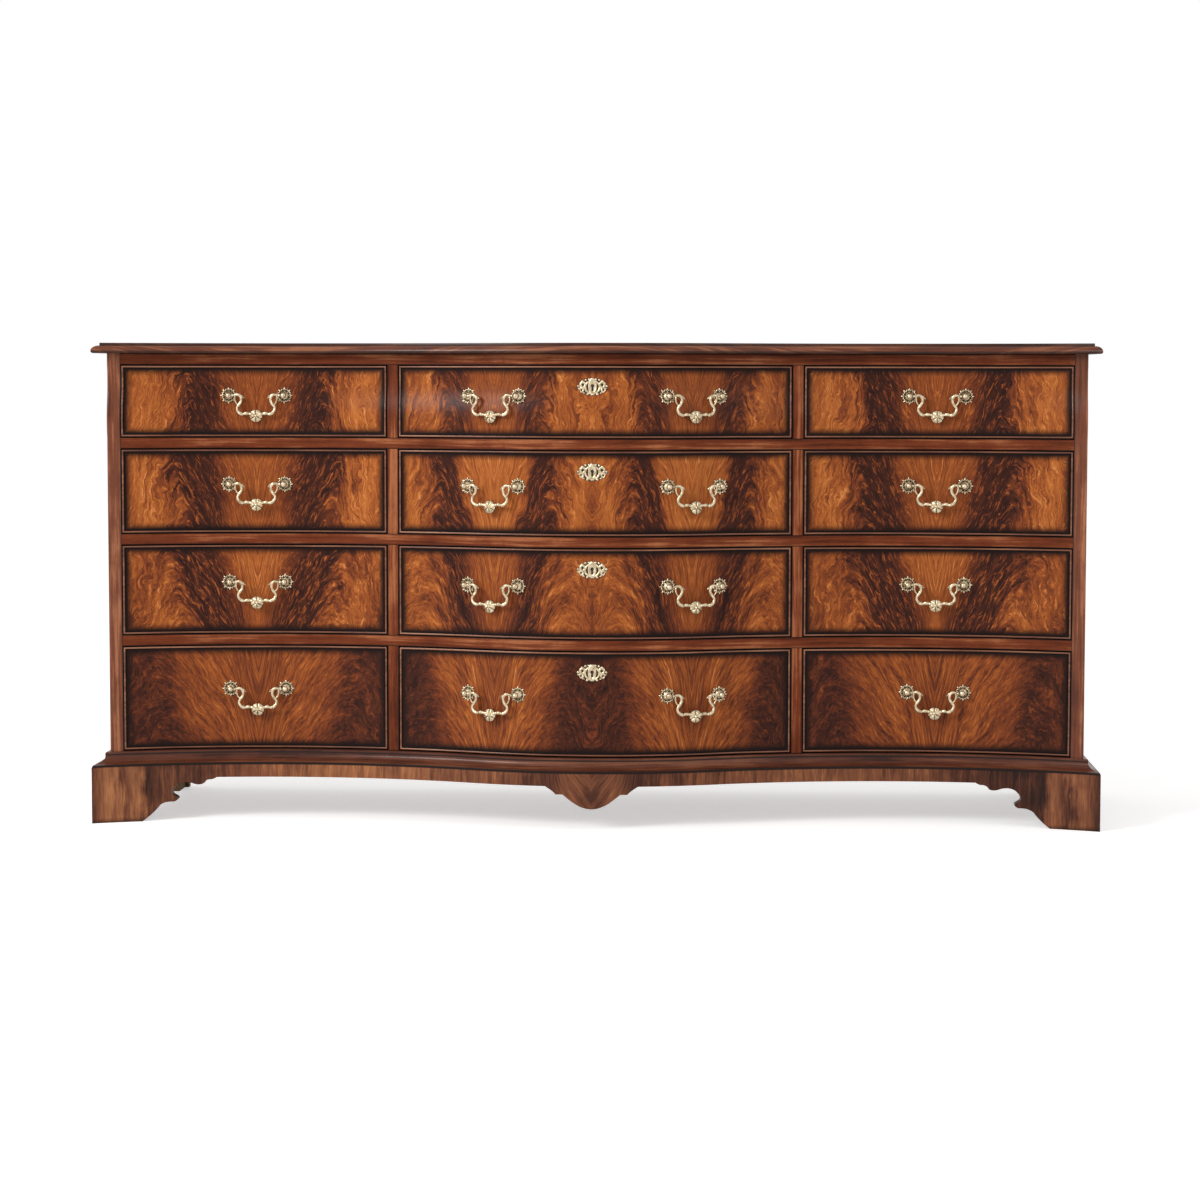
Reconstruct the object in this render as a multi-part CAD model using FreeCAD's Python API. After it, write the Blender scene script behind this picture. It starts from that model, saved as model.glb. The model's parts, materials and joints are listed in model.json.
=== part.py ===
import FreeCAD, Part
import math
import os

os.makedirs("parts", exist_ok=True)

# A mahogany dresser with a serpentine front: four rows of three drawers on bracket feet.
# Millimetres. +Z is up and the front faces -Y. The origin is on the floor, under the middle.

# The case in plan. The front line is a bow in the middle between two hollows.
case_width = 1826.0
case_depth = 425.0  # from the back to the deepest lines of the hollows
hollow_share = 0.62432  # place of each hollow's deepest line, in halves of the case's width
centre_bow = 109.0  # how far the middle stands in front of the hollows
end_bow = 63.0  # how far the ends stand in front of the hollows
top_overhang = 22.0
plinth_proud = 27.0  # how far the feet stand out from the case

# The case in height
plinth_height = 106.0
base_rail_height = 26.5
first_row_height = 136.0
second_row_height = 159.5
third_row_height = 170.0
fourth_row_height = 197.5
rail_height = 21.25
top_thickness = 19.5

# The top row's drawers and stiles are an ogee in height
ogee_setback = 4.0  # how far the top of the ogee lies behind its foot
ogee_swell = 3.3  # how far each of its two arcs stands off its chord

# Boards of the case
stile_width = 24.5
inner_stile_width = 21.5
centre_opening = 739.0
frame_thickness = 20.0
back_thickness = 9.0
runner_thickness = 12.0
bottom_thickness = 16.0

# The moulded edge of the top, which is a step and then a quarter round
top_edge_setback = 13.0
top_edge_step = 5.0
top_edge_nose = 4.0

# The moulding round the case above the feet, which is a fillet and then a hollow
moulding_top_gap = 1.5  # the strip of the base rail that shows above the moulding
moulding_fillet_proud = 7.0
moulding_fillet_height = 5.0
moulding_proud = 26.0
moulding_foot_height = 2.5
moulding_hollow_shares = (0.2, 0.58)  # the hollow's middle, in run and in rise

# Feet, apron and pendant
plinth_thickness = 22.0
foot_width = 89.0
bracket_run = 136.0  # from the foot to where the bracket meets the apron's edge
side_bracket_run = 105.0
apron_edge = 81.0  # height of the apron's lower edge
pendant_half_width = 86.5
pendant_shoulder_half = 67.0
pendant_shoulder_drop = 15.0
pendant_lobe_half = 54.0
pendant_drop = 42.0
rear_bracket_length = 130.0
rear_bracket_thickness = 20.0
corner_block = 60.0
centre_block = 45.0
# The scroll of a bracket: each row is a middle point and an end point of one arc
bracket_arc_shares = (
    ((0.12, 0.17), (0.22, 0.36)),
    ((0.31, 0.43), (0.42, 0.44)),
    ((0.47, 0.51), (0.42, 0.585)),
    ((0.39, 0.69), (0.463, 0.84)),
    ((0.55, 0.893), (0.66, 0.873)),
    ((0.743, 0.833), (0.816, 0.852)),
    ((0.86, 0.93), (0.934, 0.95)),
    ((0.97, 0.97), (1.0, 1.0)),
)
pendant_curve_shares = (0.28, 0.62)  # the middle of the curve beside each shoulder

# Drawers
front_thickness = 20.0
drawer_clearance = 1.2
runner_gap = 0.3
bead_width = 4.5
bead_proud = 2.2
bead_depth = 12.0
# Corners of the bead's nose from its edge to its middle, in bead widths and in bead_proud
bead_nose_shares = ((0.13, 0.73), (0.3, 1.0))
box_side = 12.0
box_back = 12.0
box_bottom = 6.0
box_bottom_lift = 8.0
box_top_drop = 12.0
drawer_back_gap = 15.0

# Pulls: a swan-neck bail between two posts, each on a pierced rosette
pull_height_share = 0.58  # up the drawer
centre_pull_place = 187.0
post_spacing = 103.0
spacing_rounds = 4
pivot_reach = 17.0  # from the drawer's face to the bail's hinge line
post_head_radius = 5.6
post_neck_radius = 3.0
post_collar_radius = 4.2
post_collar_height = 1.6
post_tip_height = 1.2
shank_radius = 2.5
shank_play = 0.2
shank_stub = 2.5
nut_sides = 6
nut_radius = 6.0
nut_thickness = 4.0
rosette_radius = 15.5
rosette_rim = 0.8
rosette_skirt = 1.5
rosette_dome_radius = 8.5
rosette_dome_height = 4.6
rosette_waist_height = 1.6
rosette_roll_height = 2.2
rosette_lobes = 8
rosette_notch_radius = 2.4
rosette_hole_radius = 1.5
rosette_hole_place = 11.6
pin_radius = 2.0
pin_play = 0.08
pin_depth = 3.2  # past the middle of the post's head
pin_end_gap = 0.3
bail_shoulder_gap = 0.6
bail_radius = 2.4
bail_drop = 36.5
bail_bend = 4.4
bail_flower_radius = 11.0
bail_flower_face_radius = 6.0
bail_flower_thickness = 7.0
bail_flower_rim = 3.0
# Corners of the bail from its shoulder to its middle, in half post spacings and in drops
bail_corner_shares = ((0.631, 0.0), (0.65, 0.329), (0.786, 0.479), (0.68, 0.849), (0.466, 0.959))

# Locks and escutcheons, on the middle drawers
lock_drop = 38.5  # from the drawer's upper edge to the escutcheon's middle
escutcheon_thickness = 1.6
escutcheon_oval_half = 10.0
escutcheon_oval_rise = 14.0
escutcheon_disc_radius = 7.5
escutcheon_hole_radius = 3.0
# Middles of the plate's discs, from the keyhole, in disc radii
escutcheon_disc_shares = ((-2.6, -0.45), (-1.7, 0.75), (0.0, 1.2), (1.7, 0.75), (2.6, -0.45), (0.0, -1.2))
escutcheon_pierced_shares = ((-2.6, -0.45), (-1.7, 0.75), (1.7, 0.75), (2.6, -0.45))
escutcheon_skin_share = 4.0  # half of the skin that the plate is cut from, in disc radii
keyhole_radius = 2.2
keyhole_slot = 2.2
keyhole_length = 8.0
lock_half_width = 28.0
lock_height = 60.0
lock_thickness = 11.0
bolt_half_width = 7.0
bolt_thickness = 5.0
bolt_height = 14.0

overrun = 15.0  # how far each cut runs past what it cuts

# Plan of the front line, from the sizes above
back_y = (case_depth + centre_bow + plinth_proud) / 2
hollow_y = back_y - case_depth
half_case = case_width / 2
hollow_place = half_case * hollow_share
end_run = half_case - hollow_place
hollow_radius = (end_run ** 2 + end_bow ** 2) / (2 * end_bow)
turn = 2 * math.atan(centre_bow / hollow_place)
bow_radius = hollow_place / math.sin(turn) - hollow_radius
bow_centre_y = hollow_y - centre_bow + bow_radius
hollow_centre_y = hollow_y - hollow_radius
half_plinth = half_case + plinth_proud
end_turn = math.asin((half_plinth + overrun - hollow_place) / (hollow_radius - plinth_proud - overrun))
far_front = hollow_y - centre_bow - plinth_proud - overrun

# Heights of the rows and rails
row_heights = (first_row_height, second_row_height, third_row_height, fourth_row_height)
base_top = plinth_height + base_rail_height
row_low = {}
level = base_top
for row in (4, 3, 2, 1):
    row_low[row] = level
    level += row_heights[row - 1] + rail_height
case_top = level
row_high = {row: row_low[row] + row_heights[row - 1] for row in row_low}

# The three columns, from the inner faces of the stiles
half_centre = centre_opening / 2
side_inner = half_centre + inner_stile_width
side_outer = half_case - stile_width
columns = {
    "left": (-side_outer, -side_inner),
    "centre": (-half_centre, half_centre),
    "right": (side_inner, side_outer),
}
pull_places = {
    "left": {"": -(side_inner + side_outer) / 2},
    "centre": {"_left": -centre_pull_place, "_right": centre_pull_place},
    "right": {"": (side_inner + side_outer) / 2},
}

origin = FreeCAD.Vector(0, 0, 0)
x_axis = FreeCAD.Vector(1, 0, 0)
y_axis = FreeCAD.Vector(0, 1, 0)
z_axis = FreeCAD.Vector(0, 0, 1)


def vector(x, y, z=0.0):
    return FreeCAD.Vector(x, y, z)


def line(start, end):
    return Part.LineSegment(start, end).toShape()


def arc(start, middle, end):
    return Part.Arc(start, middle, end).toShape()


def face_of(edges):
    return Part.Face(Part.Wire(edges))


def block(x_from, x_to, y_from, y_to, low, high):
    return Part.makeBox(x_to - x_from, y_to - y_from, high - low, vector(x_from, y_from, low))


def joint_x(offset):
    # Where the bow meets the hollow, on the line that stands outward by the offset
    return (bow_radius + offset) * math.sin(turn)


def front_y(x, offset=0.0):
    # The front line at x, moved outward by the offset
    x = abs(x)
    if x <= joint_x(offset):
        return bow_centre_y - math.sqrt((bow_radius + offset) ** 2 - x ** 2)
    return hollow_centre_y + math.sqrt((hollow_radius - offset) ** 2 - (x - hollow_place) ** 2)


def lean(x):
    # Turn of the front's outward direction at x, counterclockwise from -Y
    if abs(x) <= joint_x(0):
        return math.asin(x / bow_radius)
    return -math.asin((x - math.copysign(hollow_place, x)) / hollow_radius)


def outward(x):
    return vector(math.sin(lean(x)), -math.cos(lean(x)))


def stance(x, z, out):
    # Where a shape made round the origin, with its face to -Y, stands on the front
    place = vector(x, front_y(x), z) + outward(x) * out
    return FreeCAD.Placement(place, FreeCAD.Rotation(z_axis, math.degrees(lean(x))))


def moved(shape, placement):
    placed = shape.copy()
    placed.Placement = placement.multiply(placed.Placement)
    return placed


def front_edges(offset, x_from, x_to):
    # Arcs of the front line from left to right, one for each stretch
    joints = [x for x in (-joint_x(offset), joint_x(offset)) if x_from < x < x_to]
    stops = [x_from] + joints + [x_to]
    edges = []
    for left, right in zip(stops, stops[1:]):
        points = [vector(x, front_y(x, offset)) for x in (left, (left + right) / 2, right)]
        edges.append(arc(*points))
    return edges


def bent_board(x_from, x_to, outer, inner, low, high):
    # A board that follows the front, between two offsets of the front line
    right_end = line(vector(x_to, front_y(x_to, outer)), vector(x_to, front_y(x_to, inner)))
    left_end = line(vector(x_from, front_y(x_from, inner)), vector(x_from, front_y(x_from, outer)))
    back_edges = list(reversed(front_edges(inner, x_from, x_to)))
    face = face_of(front_edges(outer, x_from, x_to) + [right_end] + back_edges + [left_end])
    face.translate(vector(0, 0, low))
    return face.extrude(vector(0, 0, high - low))


def straight_backed(x_from, x_to, outer, rear, low, high):
    # A board whose front edge follows the front line and whose back edge is straight
    right_end = line(vector(x_to, front_y(x_to, outer)), vector(x_to, rear))
    back_edge = line(vector(x_to, rear), vector(x_from, rear))
    left_end = line(vector(x_from, rear), vector(x_from, front_y(x_from, outer)))
    face = face_of(front_edges(outer, x_from, x_to) + [right_end, back_edge, left_end])
    face.translate(vector(0, 0, low))
    return face.extrude(vector(0, 0, high - low))


def along_front(edges, x_from, x_to, low, high):
    # Carries a section along the front and trims it. The section's X is the outward offset.
    section = face_of(edges)
    section.rotate(origin, z_axis, -math.degrees(math.pi / 2))
    sweeps = []
    if x_from < joint_x(-overrun) and x_to > -joint_x(-overrun):
        bow = section.copy()
        bow.translate(vector(0, hollow_y - centre_bow))
        bow_centre = vector(0, bow_centre_y)
        bow.rotate(bow_centre, z_axis, -math.degrees(turn))
        sweeps.append(bow.revolve(bow_centre, z_axis, 2 * math.degrees(turn)))
    for side, reach, start in ((1, x_to, end_turn), (-1, -x_from, turn)):
        if reach > joint_x(-overrun):
            hollow = section.copy()
            hollow.translate(vector(side * hollow_place, hollow_y))
            hollow_centre = vector(side * hollow_place, hollow_centre_y)
            hollow.rotate(hollow_centre, z_axis, -math.degrees(start))
            sweeps.append(hollow.revolve(hollow_centre, z_axis, math.degrees(end_turn + turn)))
    whole = sweeps[0]
    if len(sweeps) > 1:
        whole = sweeps[0].fuse(sweeps[1:]).removeSplitter()
    return whole.common(block(x_from, x_to, far_front, back_y, low, high))


# The ogee is two equal arcs that meet halfway up: the lower one swells, the upper one hollows
ogee_chord = math.hypot(first_row_height, ogee_setback)
ogee_radius = ((ogee_chord / 4) ** 2 + ogee_swell ** 2) / (2 * ogee_swell)
ogee_middle_z = row_low[1] + first_row_height / 2
ogee_centre_run = (ogee_radius - ogee_swell) * first_row_height / ogee_chord
ogee_centre_rise = (ogee_radius - ogee_swell) * ogee_setback / ogee_chord


def ogee_arc(z):
    # Offset and height of the centre of the arc that holds a height, and the arc's sense
    quarter = first_row_height / 4
    if z <= ogee_middle_z:
        return -ogee_setback / 4 - ogee_centre_run, row_low[1] + quarter - ogee_centre_rise, 1
    return ogee_centre_run - ogee_setback * 3 / 4, row_high[1] - quarter + ogee_centre_rise, -1


def ogee(z):
    # Offset of the top row's face at a height
    offset, height, sense = ogee_arc(z)
    return offset + sense * math.sqrt(ogee_radius ** 2 - (z - height) ** 2)


def face_offset(row, z):
    return ogee(z) if row == 1 else 0.0


def face_edges(row, extra, low, high):
    # Edges of a section along a row's face, from the lower end to the upper
    if row != 1:
        return [line(vector(extra, 0, low), vector(extra, 0, high))]
    stops = [low] + [z for z in (ogee_middle_z,) if low < z < high] + [high]
    edges = []
    for lower, upper in zip(stops, stops[1:]):
        heights = (lower, (lower + upper) / 2, upper)
        edges.append(arc(*[vector(ogee(z) + extra, 0, z) for z in heights]))
    return edges


def facing(row, x_from, x_to, outer, inner, low, high):
    # A board with the row's face in front and the plain front line behind
    if row != 1:
        return bent_board(x_from, x_to, outer, inner, low, high)
    front = face_edges(row, outer, low, high)
    top_end = vector(ogee(high) + outer, 0, high)
    low_end = vector(ogee(low) + outer, 0, low)
    top_edge = line(top_end, vector(inner, 0, high))
    back_edge = line(vector(inner, 0, high), vector(inner, 0, low))
    low_edge = line(vector(inner, 0, low), low_end)
    return along_front(front + [top_edge, back_edge, low_edge], x_from, x_to, low, high)


def moulding_strips(edges, proud, low, high):
    # A moulding on three sides of the case. The front strip's ends carry the side's section.
    front = along_front(edges, -half_plinth, half_plinth, low, high)
    ends = []
    sides = []
    for side in (-1, 1):
        section = face_of(edges)
        if side < 0:
            section.rotate(origin, z_axis, math.degrees(math.pi))
        section.translate(vector(side * half_case, far_front))
        profile = section.extrude(vector(0, back_y - far_front))
        ends.append(profile)
        x_from, x_to = sorted((side * half_case, side * (half_case + proud)))
        sides.append(profile.common(straight_backed(x_from, x_to, 0, back_y, low, high)))
    core = block(-half_case, half_case, far_front, back_y, low, high)
    envelope = core.fuse(ends).removeSplitter()
    return [front.common(envelope)] + sides


def top_panel():
    low = case_top
    high = case_top + top_thickness
    step_x = top_overhang - top_edge_setback
    nose_low = low + top_edge_nose
    step_low = high - top_edge_step
    round_run = top_overhang - step_x
    round_rise = step_low - nose_low
    round_middle = vector(step_x + round_run * math.sin(math.pi / 4), 0,
                          nose_low + round_rise * math.cos(math.pi / 4))
    nose_middle = vector(top_overhang - top_edge_nose * (1 - math.cos(math.pi / 4)), 0,
                         nose_low - top_edge_nose * math.sin(math.pi / 4))
    edges = [
        line(vector(0, 0, low), vector(0, 0, high)),
        line(vector(0, 0, high), vector(step_x, 0, high)),
        line(vector(step_x, 0, high), vector(step_x, 0, step_low)),
        arc(vector(step_x, 0, step_low), round_middle, vector(top_overhang, 0, nose_low)),
        arc(vector(top_overhang, 0, nose_low), nose_middle, vector(top_overhang - top_edge_nose, 0, low)),
        line(vector(top_overhang - top_edge_nose, 0, low), vector(0, 0, low)),
    ]
    core = straight_backed(-half_case, half_case, 0, back_y, low, high)
    return [core.fuse(moulding_strips(edges, top_overhang, low, high)).removeSplitter()]


def base_moulding():
    low = plinth_height
    high = base_top - moulding_top_gap
    fillet_low = high - moulding_fillet_height
    hollow_low = low + moulding_foot_height
    run = moulding_proud - moulding_fillet_proud
    rise = fillet_low - hollow_low
    run_share, rise_share = moulding_hollow_shares
    middle = vector(moulding_fillet_proud + run * run_share, 0, fillet_low - rise * rise_share)
    edges = [
        line(vector(0, 0, low), vector(0, 0, high)),
        line(vector(0, 0, high), vector(moulding_fillet_proud, 0, high)),
        line(vector(moulding_fillet_proud, 0, high), vector(moulding_fillet_proud, 0, fillet_low)),
        arc(vector(moulding_fillet_proud, 0, fillet_low), middle, vector(moulding_proud, 0, hollow_low)),
        line(vector(moulding_proud, 0, hollow_low), vector(moulding_proud, 0, low)),
        line(vector(moulding_proud, 0, low), vector(0, 0, low)),
    ]
    return moulding_strips(edges, moulding_proud, low, high)


def corner_stile(side):
    # Full height: straight beside the lower rows, then the ogee, then straight by the top rail
    low = row_low[1]
    high = row_high[1]
    inner = -frame_thickness
    edges = [
        line(vector(inner, 0, case_top), vector(inner, 0, plinth_height)),
        line(vector(inner, 0, plinth_height), vector(0, 0, plinth_height)),
        line(vector(0, 0, plinth_height), vector(0, 0, low)),
    ]
    edges += face_edges(1, 0, low, high)
    edges += [
        line(vector(ogee(high), 0, high), vector(ogee(high), 0, case_top)),
        line(vector(ogee(high), 0, case_top), vector(inner, 0, case_top)),
    ]
    x_from, x_to = sorted((side * side_outer, side * half_case))
    return along_front(edges, x_from, x_to, plinth_height, case_top)


def face_frame():
    pieces = [corner_stile(-1), corner_stile(1)]
    rail = (-side_outer, side_outer)
    pieces.append(bent_board(*rail, 0, -frame_thickness, plinth_height, base_top))
    for row in (4, 3, 2):
        pieces.append(bent_board(*rail, 0, -frame_thickness, row_high[row], row_low[row - 1]))
    pieces.append(bent_board(*rail, ogee(row_high[1]), -frame_thickness, row_high[1], case_top))
    for row in row_low:
        for side in (-1, 1):
            x_from, x_to = sorted((side * half_centre, side * side_inner))
            pieces.append(facing(row, x_from, x_to, 0, -frame_thickness, row_low[row], row_high[row]))
    return pieces


def side_panels():
    panels = []
    for side in (-1, 1):
        x_from, x_to = sorted((side * side_outer, side * half_case))
        panels.append(straight_backed(x_from, x_to, -frame_thickness, back_y, plinth_height, case_top))
    return panels


def back_panel():
    inner_y = back_y - back_thickness
    return [block(-side_outer, side_outer, inner_y, back_y, plinth_height, case_top)]


def bottom_board():
    low = base_top - bottom_thickness
    inner_y = back_y - back_thickness
    return [straight_backed(-side_outer, side_outer, -frame_thickness, inner_y, low, base_top)]


def partitions_and_runners():
    # Two upright partitions, and a dust board under each drawer that carries its sides
    pieces = []
    inner_y = back_y - back_thickness
    for side in (-1, 1):
        x_from, x_to = sorted((side * half_centre, side * side_inner))
        pieces.append(straight_backed(x_from, x_to, -frame_thickness, inner_y, base_top, case_top))
    for row in (3, 2, 1):
        low = row_low[row] - runner_thickness
        for x_from, x_to in columns.values():
            pieces.append(straight_backed(x_from, x_to, -frame_thickness, inner_y, low, row_low[row]))
    return pieces


def bracket_edges(start, corner, run, height):
    # The scroll from the foot's inner corner up to the apron's edge. start and corner are
    # plan points: the foot's inner corner, and one step of run along the board from it.
    direction = corner - start
    edges = []
    last = start
    for middle_shares, end_shares in bracket_arc_shares:
        middle = start + direction * (run * middle_shares[0]) + z_axis * (height * middle_shares[1])
        end = start + direction * (run * end_shares[0]) + z_axis * (height * end_shares[1])
        edges.append(arc(last, middle, end))
        last = end
    return edges


def front_outline():
    # Outline of the front plinth seen from the front, as a prism that runs through it
    y = far_front
    inner_foot = half_plinth - foot_width
    inner_bracket = inner_foot - bracket_run
    shoulder_z = apron_edge - pendant_shoulder_drop
    curve_run = pendant_half_width - pendant_shoulder_half
    curve_x = pendant_shoulder_half + curve_run * pendant_curve_shares[0]
    curve_z = apron_edge - pendant_shoulder_drop * pendant_curve_shares[1]
    left_foot = vector(-inner_foot, y)
    right_foot = vector(inner_foot, y)
    edges = [line(vector(-half_plinth, y), left_foot)]
    edges += bracket_edges(left_foot, left_foot + x_axis, bracket_run, apron_edge)
    edges += [
        line(vector(-inner_bracket, y, apron_edge), vector(-pendant_half_width, y, apron_edge)),
        arc(vector(-pendant_half_width, y, apron_edge), vector(-curve_x, y, curve_z),
            vector(-pendant_shoulder_half, y, shoulder_z)),
        line(vector(-pendant_shoulder_half, y, shoulder_z), vector(-pendant_lobe_half, y, shoulder_z)),
        arc(vector(-pendant_lobe_half, y, shoulder_z), vector(0, y, apron_edge - pendant_drop),
            vector(pendant_lobe_half, y, shoulder_z)),
        line(vector(pendant_lobe_half, y, shoulder_z), vector(pendant_shoulder_half, y, shoulder_z)),
        arc(vector(pendant_shoulder_half, y, shoulder_z), vector(curve_x, y, curve_z),
            vector(pendant_half_width, y, apron_edge)),
        line(vector(pendant_half_width, y, apron_edge), vector(inner_bracket, y, apron_edge)),
    ]
    edges += reversed(bracket_edges(right_foot, right_foot - x_axis, bracket_run, apron_edge))
    edges += [
        line(right_foot, vector(half_plinth, y)),
        line(vector(half_plinth, y), vector(half_plinth, y, plinth_height)),
        line(vector(half_plinth, y, plinth_height), vector(-half_plinth, y, plinth_height)),
        line(vector(-half_plinth, y, plinth_height), vector(-half_plinth, y)),
    ]
    return face_of(edges).extrude(vector(0, back_y - y))


def side_outline(side, front):
    # Outline of a side plinth seen from the side, with a bracket at each end
    x = side * (half_plinth + overrun)
    front_foot = vector(x, front + foot_width)
    back_foot = vector(x, back_y - foot_width)
    front_bracket = front_foot + y_axis * side_bracket_run + z_axis * apron_edge
    back_bracket = back_foot - y_axis * side_bracket_run + z_axis * apron_edge
    start = vector(x, far_front)
    edges = [line(start, front_foot)]
    edges += bracket_edges(front_foot, front_foot + y_axis, side_bracket_run, apron_edge)
    edges.append(line(front_bracket, back_bracket))
    edges += reversed(bracket_edges(back_foot, back_foot - y_axis, side_bracket_run, apron_edge))
    edges += [
        line(back_foot, vector(x, back_y)),
        line(vector(x, back_y), vector(x, back_y, plinth_height)),
        line(vector(x, back_y, plinth_height), vector(x, far_front, plinth_height)),
        line(vector(x, far_front, plinth_height), start),
    ]
    reach = plinth_thickness + 2 * overrun
    return face_of(edges).extrude(vector(-side * reach, 0))


def rear_bracket(side):
    # A plain board across the back of a rear foot, with its inner end cut to a quarter round
    outer = side * (half_plinth - plinth_thickness)
    inner = outer - side * rear_bracket_length
    y = back_y - rear_bracket_thickness
    foot = outer - side * (foot_width - plinth_thickness)
    run = inner - foot
    middle = vector(foot + run * (1 - math.cos(math.pi / 4)), y, apron_edge * math.sin(math.pi / 4))
    edges = [
        line(vector(outer, y), vector(foot, y)),
        arc(vector(foot, y), middle, vector(inner, y, apron_edge)),
        line(vector(inner, y, apron_edge), vector(inner, y, plinth_height)),
        line(vector(inner, y, plinth_height), vector(outer, y, plinth_height)),
        line(vector(outer, y, plinth_height), vector(outer, y)),
    ]
    return face_of(edges).extrude(vector(0, rear_bracket_thickness))


def bracket_feet():
    # The front plinth is five boards end to end: two brackets, two aprons and the pendant
    inner = plinth_proud - plinth_thickness
    outline = front_outline()
    bracket_end = half_plinth - foot_width - bracket_run
    stops = (-half_plinth, -bracket_end, -pendant_half_width, pendant_half_width, bracket_end, half_plinth)
    pieces = []
    for x_from, x_to in zip(stops, stops[1:]):
        board = bent_board(x_from, x_to, plinth_proud, inner, 0, plinth_height)
        pieces.append(board.common(outline))
    inner_x = half_plinth - plinth_thickness
    for side in (-1, 1):
        x_from, x_to = sorted((side * inner_x, side * half_plinth))
        board = straight_backed(x_from, x_to, inner, back_y, 0, plinth_height)
        pieces.append(board.common(side_outline(side, front_y(half_plinth, plinth_proud))))
        pieces.append(rear_bracket(side))
        x_from, x_to = sorted((side * inner_x, side * (inner_x - corner_block)))
        front_block_y = front_y(inner_x, inner) + corner_block
        pieces.append(straight_backed(x_from, x_to, inner, front_block_y, 0, plinth_height))
        rear_block_y = back_y - rear_bracket_thickness
        pieces.append(block(x_from, x_to, rear_block_y - corner_block, rear_block_y, 0, plinth_height))
        x_from, x_to = sorted((side * pendant_half_width, side * (pendant_half_width - centre_block)))
        centre_block_y = front_y(pendant_half_width, inner) + centre_block
        pieces.append(straight_backed(x_from, x_to, inner, centre_block_y, apron_edge, plinth_height))
    return pieces


def drawer_span(column):
    x_from, x_to = columns[column]
    return x_from + drawer_clearance, x_to - drawer_clearance


def bead_across(row, x_from, x_to, low, high):
    # A level strip of the bead, with a nose of five flats
    out = face_offset(row, (low + high) / 2)
    nose = [vector(face_offset(row, low), 0, low)]
    for rise, run in bead_nose_shares:
        nose.append(vector(out + run * bead_proud, 0, low + rise * bead_width))
    for rise, run in reversed(bead_nose_shares):
        nose.append(vector(out + run * bead_proud, 0, high - rise * bead_width))
    nose.append(vector(face_offset(row, high), 0, high))
    back = [vector(-bead_depth, 0, high), vector(-bead_depth, 0, low)]
    corners = nose + back + nose[:1]
    edges = [line(start, end) for start, end in zip(corners, corners[1:])]
    return along_front(edges, x_from, x_to, low, high)


def bead_upright(row, x_from, x_to, low, high):
    # An upright strip of the bead. It keeps a flat nose where it follows the ogee.
    if row == 1:
        return facing(row, x_from, x_to, bead_proud, -bead_depth, low, high)
    middle = (x_from + x_to) / 2
    left = vector(x_from, front_y(x_from))
    right = vector(x_to, front_y(x_to))
    nose = vector(middle, front_y(middle)) + outward(middle) * bead_proud
    left_back = vector(x_from, front_y(x_from, -bead_depth))
    right_back = vector(x_to, front_y(x_to, -bead_depth))
    edges = [arc(left, nose, right), line(right, right_back)]
    edges += reversed(front_edges(-bead_depth, x_from, x_to))
    edges.append(line(left_back, left))
    face = face_of(edges)
    face.translate(vector(0, 0, low))
    return face.extrude(vector(0, 0, high - low))


def drawer_board(row, column):
    # The front board before it is drilled, with a rebate round its edge for the bead
    x_from, x_to = drawer_span(column)
    low = row_low[row] + drawer_clearance
    high = row_high[row] - drawer_clearance
    board = facing(row, x_from, x_to, 0, -front_thickness, low, high)
    rebates = (
        (x_from, x_to, high - bead_width, high),
        (x_from, x_to, low, low + bead_width),
        (x_from, x_from + bead_width, low, high),
        (x_to - bead_width, x_to, low, high),
    )
    return board.cut([bent_board(a, b, overrun, -bead_depth, c, d) for a, b, c, d in rebates])


def drawer_beads(row, column):
    x_from, x_to = drawer_span(column)
    low = row_low[row] + drawer_clearance
    high = row_high[row] - drawer_clearance
    inner_low = low + bead_width
    inner_high = high - bead_width
    return [
        bead_across(row, x_from, x_to, inner_high, high),
        bead_across(row, x_from, x_to, low, inner_low),
        bead_upright(row, x_from, x_from + bead_width, inner_low, inner_high),
        bead_upright(row, x_to - bead_width, x_to, inner_low, inner_high),
    ]


def drawer_box(row, column):
    # Two sides, a back that stands on the bottom, and the bottom between the sides
    x_from, x_to = drawer_span(column)
    low = row_low[row] + runner_gap
    high = row_high[row] - box_top_drop
    rear = back_y - back_thickness - drawer_back_gap
    inner_left = x_from + box_side
    inner_right = x_to - box_side
    bottom_low = low + box_bottom_lift
    bottom_top = bottom_low + box_bottom
    return [
        straight_backed(x_from, inner_left, -front_thickness, rear, low, high),
        straight_backed(inner_right, x_to, -front_thickness, rear, low, high),
        block(inner_left, inner_right, rear - box_back, rear, bottom_top, high),
        straight_backed(inner_left, inner_right, -front_thickness, rear, bottom_low, bottom_top),
    ]


def turned(points_and_arcs):
    # A solid turned about Y from edges in the plane of X, its radius, and -Y, its height
    return face_of(points_and_arcs).revolve(origin, y_axis, math.degrees(2 * math.pi))


def at(radius, height):
    return vector(radius, -height)


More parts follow.
